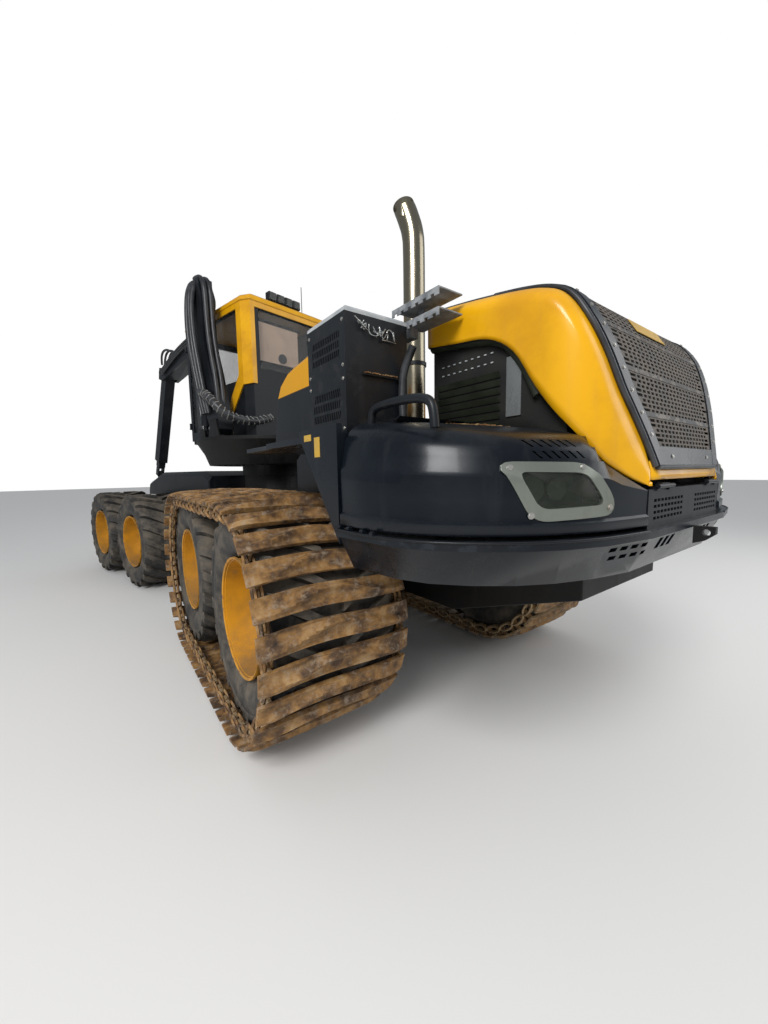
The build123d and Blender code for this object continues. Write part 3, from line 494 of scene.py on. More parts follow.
def lattice(surface, rows, wall):  # rows of (start, end, low, high, slots) with the slots left open
    shapes = []
    for start, end, low, high, holes in rows:
        stops = [low] + [edge for hole in holes for edge in hole] + [high]
        for k in range(0, len(stops), 2):
            if stops[k + 1] - stops[k] > 1e-4:
                shapes.append(plateShape(surface, start, end, stops[k], stops[k + 1], wall))
    return shapes


# Lines: routes, outlines and readings from tables

def smoothPath(points, steps):  # a rounded line through the points
    out = []
    for k in range(len(points) - 1):
        near = [points[min(max(k + shift, 0), len(points) - 1)] for shift in (-1, 0, 1, 2)]
        for step in range(steps):
            t = step / steps
            out.append(tuple(0.5 * (2 * b + (c - a) * t + (2 * a - 5 * b + 4 * c - d) * t ** 2
                                    + (3 * b - a - 3 * c + d) * t ** 3) for a, b, c, d in zip(*near)))
    return out + [tuple(points[-1])]


def along(points, share):  # the place at this share of a line's length
    lengths = [math.dist(a, b) for a, b in zip(points, points[1:])]
    left = share * sum(lengths)
    for (a, b), length in zip(zip(points, points[1:]), lengths):
        if left <= length or b is points[-1]:
            t = min(1, left / max(length, 1e-9))
            return tuple(p + (q - p) * t for p, q in zip(a, b))
        left -= length


def between(table, value):  # a straight reading from a table of pairs
    for (a, low), (b, high) in zip(table, table[1:]):
        if value <= b:
            return low + (high - low) * max(0, value - a) / (b - a)
    return table[-1][1]


def rounded(points, radius, steps=6):  # a closed outline with its corners rounded
    out = []
    for k, point in enumerate(points):
        before, after, point = Vector(points[k - 1]), Vector(points[(k + 1) % len(points)]), Vector(point)
        start = point + (before - point).normalized() * min(radius, (before - point).length * 0.45)
        end = point + (after - point).normalized() * min(radius, (after - point).length * 0.45)
        for step in range(steps + 1):
            t = step / steps
            out.append(tuple((1 - t) ** 2 * start + 2 * t * (1 - t) * point + t * t * end))
    return out


def resampled(points, count):
    ring = list(points) + [points[0]]
    return [along(ring, k / count) for k in range(count)]


def ringAround(path, k, radius, count, steady):  # a circle square to the path, without twist
    ahead = (Vector(path[min(k + 1, len(path) - 1)]) - Vector(path[max(k - 1, 0)])).normalized()
    first = (Vector(steady) - ahead * ahead.dot(Vector(steady))).normalized()
    second = ahead.cross(first)
    return [Vector(path[k]) + first * a + second * b for a, b in circle(radius, count)]


looks = makeMaterials()
addCamera()
print("camera and materials ready")


# Tyres and rims

tyre = {"radius": 0.66, "width": 0.7, "bead": 0.363, "lug": 0.045, "count": 20, "lean": 34,
        "lugWidth": 0.062, "bogieStep": 1.5}
rim = {"ring": [(0.33, 0.348), (0.335, 0.36), (0.322, 0.362), (0.318, 0.34), (0.25, 0.335), (0.1, 0.318),
                (0.075, 0.3), (0.07, 0.2), (0.085, 0.165), (0.165, 0.15), (0.178, 0.13), (0.182, 0.05),
                (0.186, 0.0), (0.03, 0.0), (0.03, 0.29), (0.02, 0.33), (-0.318, 0.336), (-0.322, 0.362),
                (-0.335, 0.36), (-0.33, 0.342), (-0.02, 0.347)],
       "bolts": [(20, 0.235, 0.071, 0.014, 0.022), (12, 0.105, 0.181, 0.009, 0.01)]}


def tyreShapes():
    r, half, lug = tyre["radius"], tyre["width"] / 2, tyre["lug"]
    side = [(half - 0.06, tyre["bead"]), (half - 0.03, tyre["bead"] + 0.03), (half - 0.004, 0.45),
            (half, 0.5), (half - 0.006, 0.545), (half - 0.002, 0.552), (half - 0.004, 0.575),
            (half - 0.035, r - lug - 0.018), (half - 0.09, r - lug)]
    profile = side + [(0.12, r - lug + 0.006), (0, r - lug + 0.008)]
    full = profile + [(-dx, radius) for dx, radius in reversed(profile[:-1])]
    stations = [(0.02, r, 0.72), (0.11, r, 0.85), (0.2, r, 1), (half - 0.055, r - 0.002, 1.12),
                (half - 0.008, r - 0.03, 1.18), (half - 0.001, r - 0.085, 0.95)]  # x, top and share of width
    shapes = [turnedShape(full, 72)]
    lean = math.tan(math.radians(tyre["lean"]))
    for hand in (-1, 1):
        for k in range(tyre["count"]):
            start = 2 * math.pi * (k + 0.25 * hand) / tyre["count"]
            sections = []
            for x, top, width in stations:
                low = r - lug - 0.02 if x < half - 0.06 else r - lug - 0.07
                middle = start + (x * lean) / r
                crest = tyre["lugWidth"] * width / r / 2
                foot = crest * 1.45
                corners = ((-foot, low, 0.01), (-crest, top, 0), (crest, top, 0), (foot, low, 0.01))
                section = []
                for turn, radius, back in corners:
                    a = middle + turn
                    section.append(Vector(((x - back) * hand, radius * math.cos(a), radius * math.sin(a))))
                sections.append(section if hand > 0 else section[::-1])
            shapes.append(loop(sections, closed=False))
    return shapes


def rimShapes():
    shapes = [turnedShape(rim["ring"])]
    for count, radius, x, size, height in rim["bolts"]:
        shapes += boltShapes([(x, a, b) for a, b in circle(radius, count)], (1, 0, 0), size, height)
    return shapes


def wheelPlaces():  # the braces in a name take tyre or rim
    spots = {}
    for side, tag in ((1, "left"), (-1, "right")):
        for number in (1, 2):
            joint = joints[f"wheel_{tag}_{number}_spin"]
            spots[f"front_{{}}_{tag}_{number}"] = ([Vector(joint["pos_m"])], craneTurn, side, joint["child"])
        hub = boxCentre(f"rear_rims_{tag}")
        step = tyre["bogieStep"] / 2
        pair = [Vector((hub.x, rearOrigin.y + y, hub.z)) for y in (-step, step)]
        spots[f"rear_{{}}s_{tag}"] = (pair, 0, side, "chassis")
    return spots


def addWheels():
    sources = (("tyre", tyreShapes(), "tyre_rubber"), ("rim", rimShapes(), "rim_yellow"))
    for name, (spots, turn, side, body) in wheelPlaces().items():
        flip = Matrix.Rotation(math.pi, 4, "Z") if side < 0 else Matrix()
        for kind, source, material in sources:
            shapes = []
            for spot in spots:
                place = Matrix.Translation(spot) @ Matrix.Rotation(turn, 4, "Z") @ flip
                shapes += [moved(shape, place) for shape in source]
            node = name.format(kind)
            meshPiece(node + "_wheel", shapes, material, body, place=Matrix(), instead=node)
    print("wheels made")


addWheels()


# Tracks: waved cross shoes on side links

track = {"count": 44, "pitchRadius": 0.661, "base": 0.663, "top": 0.733, "width": 0.114, "inner": 0.695,
         "outer": 1.545, "plate": 0.02, "ear": 0.03, "earThick": 0.009, "earHalf": 0.02,
         "earDepth": (-0.085, 0.006), "earInset": (0.062, 0.022), "linkDrop": 0.055, "linkGap": 0.016,
         "linkHalf": (0.0702, 0.026), "linkWire": (0.011, 0.009)}


def trackSpot(length, radius):  # (y, z, angle) on the loop round both wheels, z from the axle
    run, bend = tyre["bogieStep"], math.pi * track["pitchRadius"]
    length %= 2 * (run + bend)
    if length < run:
        return length - run / 2, radius, 0
    if length < run + bend:
        a = (length - run) / track["pitchRadius"]
        return run / 2 + radius * math.sin(a), radius * math.cos(a), a
    if length < 2 * run + bend:
        return run / 2 - (length - run - bend), -radius, math.pi
    a = math.pi + (length - 2 * run - bend) / track["pitchRadius"]
    return -run / 2 + radius * math.sin(a), radius * math.cos(a), a


def trackPlace(length, radius):
    y, z, angle = trackSpot(length, radius)
    return Matrix.Translation((0, y, z)) @ Matrix.Rotation(-angle, 4, "X")


def shoeShape(seed, stations=22):  # along x, t across its width, height from the tyre's face
    spread = random.Random(seed)
    half, rise = track["width"] / 2, track["top"] - track["base"]
    sections = []
    for i in range(stations + 1):
        s = i / stations
        x = track["inner"] + s * (track["outer"] - track["inner"])
        swing = math.sin(2 * math.pi * (s * 1.25 + 0.12))
        shift = 0.010 * math.sin(2 * math.pi * (s + 0.1))
        end = min(1, min(s, 1 - s) / 0.06)
        rib = (0.55 + 0.45 * math.sin(math.pi * s)) * end * spread.uniform(0.94, 1)
        section = []
        for j in range(11):
            t = -1 + 2 * j / 10
            bump = math.exp(-((t - 0.55 * swing) / 0.3) ** 2) * rib * 0.8
            lip = 0.22 * abs(t) ** 6 * end
            z = track["plate"] + (rise - track["plate"]) * min(0.98, bump + lip)
            section.append(Vector((x, t * half + shift, z)))
        section += [Vector((x, half * 0.96 + shift, 0.002)), Vector((x, -half * 0.96 + shift, 0.002))]
        sections.append(section)
    return loop(sections, closed=False)


def linkShape(x):  # a long ring beside the shoes
    (long, high), (thick, wide) = track["linkHalf"], track["linkWire"]
    wire = [(thick, 0), (0, wide), (-thick, 0), (0, -wide)]
    sections = []
    for a, b in circle(1, 20):
        centre = Vector((x, long * a, high * b))
        sections.append([centre + Vector((dx, a * out, b * out)) for out, dx in wire])
    return loop(sections)


def addTracks():
    pitch = 2 * (tyre["bogieStep"] + math.pi * track["pitchRadius"]) / track["count"]
    ears = (track["outer"] - track["earInset"][0], track["inner"] + track["earInset"][1])
    ear, thick, long, gap = track["ear"], track["earThick"], track["earHalf"], track["linkGap"]
    for side, tag in ((1, "left"), (-1, "right")):
        axle = Vector((rearOrigin.x, rearOrigin.y, boxCentre(f"rear_rims_{tag}").z))
        world = Matrix.Translation(axle) @ Matrix.Diagonal((side, 1, 1, 1))
        shoes, links = [], []
        for k in range(track["count"]):
            shoePlace = world @ trackPlace((k + 0.5) * pitch + 0.75, track["base"])
            linkPlace = world @ trackPlace((k + 1) * pitch + 0.75, track["base"] - track["linkDrop"])
            shoes.append(moved(shoeShape(k), shoePlace))
            for x in ears:
                for y in (-ear, ear):
                    shape = boxShape(x - thick, x + thick, y - long, y + long, *track["earDepth"])
                    shoes.append(moved(shape, shoePlace))
                links += [moved(linkShape(x + dx), linkPlace) for dx in (-gap, gap)]
        piece = meshPiece(f"track_{tag}_shoes", shoes, "track_steel", "chassis", smooth=50,
                          place=Matrix(), instead=f"track_{tag}")
        bevel(piece, 0.003, 1, 45)
        meshPiece(f"track_{tag}_links", links, "track_steel", "chassis", smooth=60, place=Matrix())
    print("tracks made")


addTracks()


# Hood: a smooth shell over stations of y, crown, low edge and half width

hood = {"stations": [(1.6, 2.365, 2.18, 0.69), (1.78, 2.342, 2.155, 0.69), (1.96, 2.313, 2.125, 0.69),
                     (2.085, 2.289, 2.045, 0.69), (2.18, 2.262, 1.9, 0.69), (2.255, 2.22, 1.8, 0.688),
                     (2.32, 2.128, 1.722, 0.668), (2.37, 2.005, 1.655, 0.63), (2.41, 1.86, 1.598, 0.585),
                     (2.45, 1.705, 1.548, 0.5), (2.478, 1.585, 1.52, 0.436), (2.488, 1.535, 1.512, 0.43)],
        "wall": 0.02, "shoulder": 0.07, "topHalf": 0.63, "topEnd": 2.2, "topWall": 0.022, "lip": (2.474, 0.4),
        "middle": (0, 1.9, 1.9), "cord": 0.008, "sealAt": (1.605, 1.7, 1.8, 1.9, 1.97)}
hinge = {"y": 2.5, "z": 1.51, "radius": 0.009, "hood": (-0.34, 0.26), "hoodKnuckle": 0.0797,
         "panel": (-0.38, -0.26, 0.22, 0.34), "panelKnuckle": 0.0397}
crownLine = smoothPath([(y, crown) for y, crown, low, half in hood["stations"]], 6)
crownLength = sum(math.dist(a, b) for a, b in zip(crownLine, crownLine[1:]))


def crownSpot(length, x, lift=0):  # on the hood's top line, this far from its front
    share = min(max(length / crownLength, 0), 1)
    y, z = along(crownLine, share)
    ya, za = along(crownLine, max(share - 0.015, 0))
    yb, zb = along(crownLine, min(share + 0.015, 1))
    run = math.dist((ya, za), (yb, zb))
    return Vector((x, y - lift * (zb - za) / run, z + lift * (yb - ya) / run))


def crownAt(y):  # the length along the top line where it passes y
    lengths = [k / 400 * crownLength for k in range(401)]
    return min(lengths, key=lambda length: abs(crownSpot(length, 0).y - y))


def crownSheet(start, end, half, steps, lift):  # a sheet over the top line
    rows = []
    for k in range(steps + 1):
        length = start + (end - start) * k / steps
        rows.append([crownSpot(length, half * j / 4, lift) for j in range(-4, 5)])
    return facing(skin(rows), hood["middle"])


def hoodRows():
    rows = []
    for y, crown, low, half in smoothPath(hood["stations"], 4):
        turn = min(hood["shoulder"], (crown - low) / 2)
        row = [Vector((half, y, low + (crown - turn - low) * k / 7)) for k in range(8)]
        for k in range(1, 8):
            a = math.pi / 2 * k / 7
            row.append(Vector((half - turn + turn * math.cos(a), y, crown - turn + turn * math.sin(a))))
        rows.append(row)
    return rows


def knuckleShapes(x, length, back, low, high):  # a knuckle on the tail's hinge line, with its leaf
    y, z = hinge["y"], hinge["z"]
    rod = rodShape((x, y, z), (x + length, y, z), hinge["radius"], 12)
    return [rod, boxShape(x, x + length, back, y, low, high)]


def addHood():
    flank = facing(skin(hoodRows()), hood["middle"])
    lipStart, lipHalf = hood["lip"]
    lip = crownSheet(crownAt(lipStart), crownLength, lipHalf, 4, 0.001)
    shell = meshPiece("hood_shell", [flank, mirrored(flank), lip], "yellow_paint", "hood_lid",
                      smooth=40, instead="hood")
    thicken(shell, hood["wall"])
    top = crownSheet(crownAt(1.6), crownAt(hood["topEnd"]), hood["topHalf"], 8, -0.002)
    piece = meshPiece("hood_top", [top], "cover_grey", "hood_lid", "yellow_paint", smooth=40, instead="hood")
    thicken(piece, hood["topWall"])
    knuckles = []
    for x in hinge["hood"]:
        knuckles += knuckleShapes(x, hinge["hoodKnuckle"], 2.47, 1.512, 1.522)
    meshPiece("hood_knuckles", knuckles, "dark_paint", "hood_lid", "yellow_paint", instead="hood")
    for side in (-1, 1):
        seal = [crownSpot(crownAt(y), side * (hood["topHalf"] - 0.008), 0.002) for y in hood["sealAt"]]
        tube("hood_seal", seal, hood["cord"], "hose", "hood_lid")
        lower = [(side * (half - 0.012), y, low + 0.004)
                 for y, crown, low, half in smoothPath(hood["stations"][:8], 3)]
        tube("hood_edge", lower, hood["cord"], "hose", "hood_lid")
    print("hood made")


addHood()


# Grille: plates of fine slots between plain bands, in a dark border

grille = {"half": [(1.48, 0.365), (1.58, 0.37), (1.705, 0.43), (1.86, 0.515), (2.13, 0.6), (3.0, 0.6)],
          "start": 1.93, "end": 2.478, "border": 0.075, "fields": (9, 8, 8, 6), "band": 0.02, "slot": 0.03,
          "pitch": 0.042, "open": 0.62, "lift": 0.02, "seal": 0.0105, "sealLift": 0.009,
          "backing": (0.03, -0.016), "sign": (-0.12, 0.19, 0.004, 0.007), "signHigh": 0.07,
          "screws": 8, "screw": (0.006, 0.004), "footScrews": (-0.22, 0.22)}


def grilleHalf(length):
    return between(grille["half"], crownSpot(length, 0).z)


def grilleSpot(length, x, lift):
    return crownSpot(length, x, grille["lift"] - 0.004 + lift)


def grilleRows():
    start, end = crownAt(hood["topEnd"]) + 0.02, crownAt(grille["end"]) - grille["border"]
    rowHigh = (end - start - grille["band"] * (len(grille["fields"]) - 1)) / sum(grille["fields"])
    web = rowHigh * (1 - grille["open"])
    pitch, slot = grille["pitch"], grille["slot"]
    rows, bands, place = [], [], start
    for field, count in enumerate(grille["fields"]):
        for row in range(count):
            half = grilleHalf(place) - grille["border"]
            number = int((2 * half - 0.07) / pitch)
            first = -number * pitch / 2 + (pitch - slot) / 2
            holes = [(first + k * pitch, first + k * pitch + slot) for k in range(number)]
            spare = 0.02 * ((row + 1) % 3)  # the end slots reach out in steps
            holes[0] = (holes[0][0] - spare, holes[0][1])
            holes[-1] = (holes[-1][0], holes[-1][1] + spare)
            rows.append((place, place + web, -half - 0.01, half + 0.01, []))
            rows.append((place + web, place + rowHigh, -half - 0.01, half + 0.01, holes))
            place += rowHigh
        if field < len(grille["fields"]) - 1:
            bands.append((place, place + grille["band"]))
            place += grille["band"]
    return rows, bands, start, place


def borderShapes(top, foot, start, end, steps=40):  # both flanks, and a plate across the foot
    lift, shapes = grille["lift"], []
    for side in (-1, 1):
        sections = []
        for k in range(steps + 1):
            length = top + (foot - top) * k / steps
            half = grilleHalf(length)
            wide = grille["border"] + (0.6 if length < start else 0)
            inner = max(half - wide, 0)
            ring = [(half, 0.001), (half, lift - 0.004), (half - 0.006, lift + 0.002),
                    (inner, lift + 0.002), (inner, 0.001)]
            sections.append([crownSpot(length, side * x, height) for x, height in ring])
        shapes.append(facing(loop(sections, closed=False), (side * 0.5, 2.2, 1.9)))
    half = grilleHalf(foot) - 0.01
    return shapes + [plateShape(grilleSpot, end, foot, -half, half, 0.014, 0.005)]


def addGrille():
    rows, bands, start, end = grilleRows()
    top, foot = crownAt(grille["start"]), crownAt(grille["end"])
    meshPiece("grille_field", lattice(grilleSpot, rows, 0.003), "grille_dust", "hood_lid", "grille_metal",
              smooth=30, instead="grille")
    plates = []
    for a, b in bands:
        half = grilleHalf(a) - grille["border"] + 0.01
        plates.append(plateShape(grilleSpot, a, b, -half, half, 0.003, 0.002))
    meshPiece("grille_bands", plates, "grille_metal", "hood_lid", smooth=30, instead="grille")
    border = meshPiece("grille_border", borderShapes(top, foot, start, end), "cover_grey", "hood_lid",
                       "grille_metal", instead="grille")
    bevel(border, 0.002)
    backing, (inset, sunk) = [], grille["backing"]
    for k in range(17):
        length = start + (end - start) * k / 16
        half = grilleHalf(length) - inset
        backing.append([crownSpot(length, half * x, sunk) for x in (-1, -0.5, 0, 0.5, 1)])
    meshPiece("grille_mesh", [facing(skin(backing), hood["middle"])], "bay", "hood_lid", "grille_metal",
              smooth=40)
    for side in (-1, 1):
        lengths = [top + (foot - top) * k / 30 for k in range(31)]
        edge = [crownSpot(length, side * (grilleHalf(length) + 0.006), grille["sealLift"])
                for length in lengths]
        tube("grille_seal", edge, grille["seal"], "hose", "hood_lid")
    edge = [crownSpot(foot + 0.004, x, grille["sealLift"]) for x in (-0.36, 0, 0.36)]
    tube("grille_foot_seal", edge, grille["seal"], "hose", "hood_lid")
    sign = crownAt(hood["topEnd"]) + 0.1
    label = plateShape(grilleSpot, sign, sign + grille["signHigh"], *grille["sign"])
    bevel(meshPiece("grille_label", [label], "label", "hood_lid", "yellow_paint", smooth=30), 0.0015)
    heads, number, raised = [], grille["screws"], grille["lift"] + 0.002
    for side in (-1, 1):
        for k in range(number):
            length = start + (end - start) * (k + 0.5) / number
            centre = crownSpot(length, side * (grilleHalf(length) - grille["border"] / 2), raised)
            outward = crownSpot(length, 0, 1) - crownSpot(length, 0)
            heads += boltShapes([centre], outward, *grille["screw"])
    feet = [crownSpot(foot - 0.035, x, raised) for x in grille["footScrews"]]
    heads += boltShapes(feet, (0, 1, 0.2), *grille["screw"])
    meshPiece("grille_screws", heads, "bolt", "hood_lid", "grille_metal")
    print("grille made")


addGrille()


# Tail covers: a wall that turns in at the top, wrapped round the corner of the tail

tail = {"half": 1.27, "back": 2.5, "seam": 1.7, "inner": 0.45, "wall": 0.022, "middle": (0.6, 1.6, 1.5),
        "corner": [(0.03, 0.49), (0.08, 0.37), (0.17, 0.26), (0.285, 0.165), (0.41, 0.095), (0.57, 0.04)],
        # heights with how far the wall is pulled in there
        "levels": [(1.37, 0.002), (1.376, 0), (1.412, 0), (1.422, 0.009), (1.44, 0.01), (1.5, 0.009),
                   (1.55, 0.008), (1.59, 0.008), (1.606, 0.016), (1.66, 0.024), (1.7, 0.033), (1.72, 0.041),
                   (1.745, 0.058), (1.764, 0.08), (1.778, 0.11), (1.787, 0.15), (1.792, 0.19)],
        "falls": [(1.37, 0), (1.6, 0.06), (1.73, 0.10), (1.792, 0.115)],
        # the hood's own room, as half widths along y, and the highest wall beside its foot
        "room": [(1.6, 0.702), (2.262, 0.702), (2.325, 0.687), (2.378, 0.642), (2.416, 0.593), (2.456, 0.516),
                 (2.484, 0.46)],
        "relief": [(2.3, 1.8), (2.33, 1.742), (2.37, 1.667), (2.4, 1.607), (2.44, 1.557), (2.48, 1.509),
                   (2.53, 1.458)]}
lamp = {"outer": [(1.037, 1.607), (0.76, 1.6), (0.645, 1.474), (0.655, 1.422), (0.945, 1.411)],
        "inner": [(0.987, 1.573), (0.778, 1.567), (0.7, 1.476), (0.708, 1.459), (0.925, 1.453)],
        "lifts": (-0.003, 0.006, 0.006, -0.012), "bulbs": [(0.93, 1.512, 0.046), (0.84, 1.512, 0.036)],
        "screws": [(0.998, 1.585), (0.78, 1.584), (0.672, 1.45), (0.95, 1.434)], "points": 56,
        "round": (0.05, 0.032), "room": (-0.015, -0.075), "opening": (-0.09, 0.05), "centre": (0.85, 1.51),
        "lensLift": -0.002, "bulbLifts": (-0.07, -0.052), "screwLift": 0.006, "screw": (0.0085, 0.005)}
vents = {"rows": [(1.664, 0.943), (1.626, 0.927)], "count": 6, "pitch": 0.029, "lean": 0.021,
         "half": 0.012, "wide": 0.009, "reach": (-0.07, 0.06)}


def tailLine(pull, steps=6):
    half, back = tail["half"] - pull, tail["back"] - pull
    corner = [(half - x, back - y) for x, y in tail["corner"]]
    return smoothPath([(half, tail["seam"]), (half, 1.85)] + corner + [(tail["inner"], back)], steps)


def roomHalf(y):  # how far out the hood's own room reaches at y
    return between(tail["room"], y) if y <= tail["room"][-1][0] else 0.44


def coverRows():
    lines = [(tailLine(pull), z) for z, pull in tail["levels"]]
    columns = []
    for k in range(len(lines[0][0])):
        column = []
        for line, z in lines:
            x, y = line[k]
            column.append((x, y, z) if x >= roomHalf(y) else column[-1])
        columns.append(column)
    rows = []
    for level in range(len(lines)):
        row = []
        for column in columns:
            x, y, z = column[level]
            z -= between(tail["falls"], z) * (y - tail["seam"])
            limit = between(tail["relief"], y) + max(0, x - 0.65) * 1.6 if y > 2.3 else 9
            row.append(Vector((x, y, min(z, limit))))
        rows.append(row)
    ledge = []  # from the wall's top in to the hood's room
    for p in rows[-1]:
        edge = Vector((max(roomHalf(p.y) + 0.002, tail["inner"]), p.y, p.z + 0.0005))
        ledge.append(edge if p.x > roomHalf(p.y) + 0.004 else p.copy())
    return rows + [ledge]


def coverSpot(x, z, lift=0):  # on the cover's outer wall at x, near the tail's corner
    line = tailLine(between(tail["levels"], z + 0.03), 10)
    for (xa, ya), (xb, yb) in zip(line[12:], line[13:]):
        if xb <= x:
            t = (xa - x) / (xa - xb)
            run = math.dist((xa, ya), (xb, yb))
            return Vector((x + lift * (yb - ya) / run, ya + t * (yb - ya) + lift * (xa - xb) / run, z))


def coverRings(outline, lifts):
    return [[coverSpot(x, z, lift) for x, z in outline] for lift in lifts]


def ventShapes():
    high, wide, shapes = vents["half"], vents["wide"], []
    for z, first in vents["rows"]:
        for k in range(vents["count"]):
            x = first - vents["pitch"] * k
            low = x - vents["lean"]
            ring = [(x, z + high), (x - wide, z + high), (low - wide, z - high), (low, z - high)]
            slot = loop(coverRings(ring, vents["reach"]), closed=False)
            shapes.append(facing(slot, coverSpot(x - 0.017, z)))
    return shapes


def lampShapes():  # the raised frame, the room behind it, its floor, the bulbs, the lens and the screws
    outer = resampled(rounded(lamp["outer"], lamp["round"][0]), lamp["points"])
    hole = resampled(rounded(lamp["inner"], lamp["round"][1]), lamp["points"])
    lifts, (back, front) = lamp["lifts"], lamp["bulbLifts"]
    edge = facing(loop(coverRings(outer, lifts[:2]) + coverRings(hole, lifts[2:])), tail["middle"])
    room = coverRings(hole, lamp["room"])
    pocket = [facing(loop(room, closed=False, caps=False), tail["middle"]), fan(room[1])]
    lens = facing(fan(coverRings(hole, [lamp["lensLift"]])[0]), tail["middle"])
    bulbs = [rodShape(coverSpot(x, z, back), coverSpot(x, z, front), radius, 28)
             for x, z, radius in lamp["bulbs"]]
    heads = []
    for x, z in lamp["screws"]:
        outward = coverSpot(x, z, 1) - coverSpot(x, z)
        heads += boltShapes([coverSpot(x, z, lamp["screwLift"])], outward, *lamp["screw"])
    opening = facing(loop(coverRings(hole, lamp["opening"]), closed=False), coverSpot(*lamp["centre"]))
    return {"frame": ([edge], "frame_alloy"), "room": (pocket, "olive"), "bulbs": (bulbs, "olive"),
            "lens": ([lens], "lamp_glass"), "screws": (heads, "bolt")}, opening


def addCovers():
    wall = facing(skin(coverRows()), (0, 1.5, 1.3))
    lampParts, opening = lampShapes()
    holes = [opening] + ventShapes()
    for side, tag in ((1, "left"), (-1, "right")):
        body = f"cover_{tag}"
        shell = meshPiece(f"cover_{tag}_shell", onSide([wall], side), "cover_grey", body,
                          smooth=40, place=Matrix(), instead=f"side_cover_{tag}")
        thicken(shell, tail["wall"])
        cut(shell, onSide(holes, side))
        shell.matrix_world = rearPlace @ shell.matrix_world
        for name, (shapes, material) in lampParts.items():
            piece = meshPiece(f"lamp_{name}_{tag}", onSide(shapes, side), material, body)
            if name == "frame":
                bevel(piece, 0.0015)
    print("covers made")


addCovers()


# Tail panel and bumper: fine slots across the tail

panel = {"half": 0.438, "back": 2.492, "low": 1.3543, "high": 1.5, "rows": 4, "slot": 0.026, "pitch": 0.036,
         "fields": ((-0.4, 9), (0.07, 9)), "depth": (2.32, 2.473), "wall": 0.018, "sideWall": 0.022,
         "floor": 1.372, "margin": (0.03, 0.026), "thick": 0.02}


def panelFace(z, x, lift):
    return Vector((x, panel["back"] + lift, z))


def addTailPanel():
    half, low, high, pitch = panel["half"], panel["low"], panel["high"], panel["pitch"]
    fieldLow, fieldHigh = low + panel["margin"][0], high - panel["margin"][1]
    step = (fieldHigh - fieldLow) / panel["rows"]
    holes = [(start + k * pitch, start + k * pitch + panel["slot"])
             for start, count in panel["fields"] for k in range(count)]
    rows = [(low, fieldLow, -half, half, []), (fieldHigh, high, -half, half, [])]
    for k in range(panel["rows"]):
        z = fieldLow + step * k
        rows.append((z, z + step * 0.5, -half, half, holes))
        rows.append((z + step * 0.5, z + step, -half, half, []))
    shapes = [facing(shape, (0, 2.0, 1.4)) for shape in lattice(panelFace, rows, panel["thick"])]
    floor, roof, sideWall = panel["floor"], high - panel["wall"], panel["sideWall"]
    shapes.append(boxShape(-half, half, *panel["depth"], roof, high))
    shapes.append(boxShape(-half, half, *panel["depth"], low, floor))
    for x in (-half, half - sideWall):
        shapes.append(boxShape(x, x + sideWall, *panel["depth"], floor, roof))
    for x in hinge["panel"]:
        shapes += knuckleShapes(x, hinge["panelKnuckle"], 2.476, 1.494, 1.506)
    meshPiece("tail_slots", shapes, "dark_paint", "chassis", slotOf("tail_panel"), instead="tail_panel")
    for side in (-1, 1):
        edge = [(side * x, y, 1.353) for x, y in tailLine(-0.018)]
        tube("bumper_edge", edge[:-1], 0.005, "dark_paint", "chassis")
    print("tail panel made")


addTailPanel()


# Side boxes, pipe, handles, litter and labels

boxes = {"x": (0.86, 1.19), "y": (1.3, 1.64), "wall": 0.012, "lower": (1.7403, 1.9997), "upper": (2.0, 2.235),
         "rows": 3, "count": 16, "open": 0.56, "lean": 0.3, "rim": 0.046, "margin": (0.055, 0.065),
         "slack": 0.075, "first": 0.045, "edge": 0.03, "web": 0.28,
         "pipe": [(0.9, 1.73, 2.12), (0.9, 1.70, 2.08), (0.905, 1.672, 2.03), (0.91, 1.665, 1.96),
                  (0.91, 1.665, 1.88), (0.91, 1.672, 1.8), (0.91, 1.675, 1.735)],
         "handle": [(1.757, 1.745), (1.76, 1.79), (1.775, 1.822), (1.82, 1.832), (1.95, 1.834), (2.05, 1.826),
                    (2.095, 1.812), (2.115, 1.78), (2.12, 1.72)],
         "handleX": 1.15, "handleRadius": 0.0165, "pipeRadius": 0.018, "wires": 7, "wireRadius": 0.0026}
# flakes: count, seed, x, y, height, fall towards the tail, size and body
litter = {"deck": (150, 3, (0.7, 1.2), (0.5, 1.28), 1.74, 0, 0.03, "chassis"),
          "ledge": (34, 5, (0.93, 1.1), (1.642, 1.652), 1.998, 0, 0.011, "chassis"),
          "cover": (110, 8, (0.72, 0.9), (1.73, 2.1), 1.79, 0.115, 0.02, "cover_left")}
labels = [(1.52, 1.69, 0.05, 0.085), (1.43, 1.735, 0.07, 0.028)]  # y, z, width and height


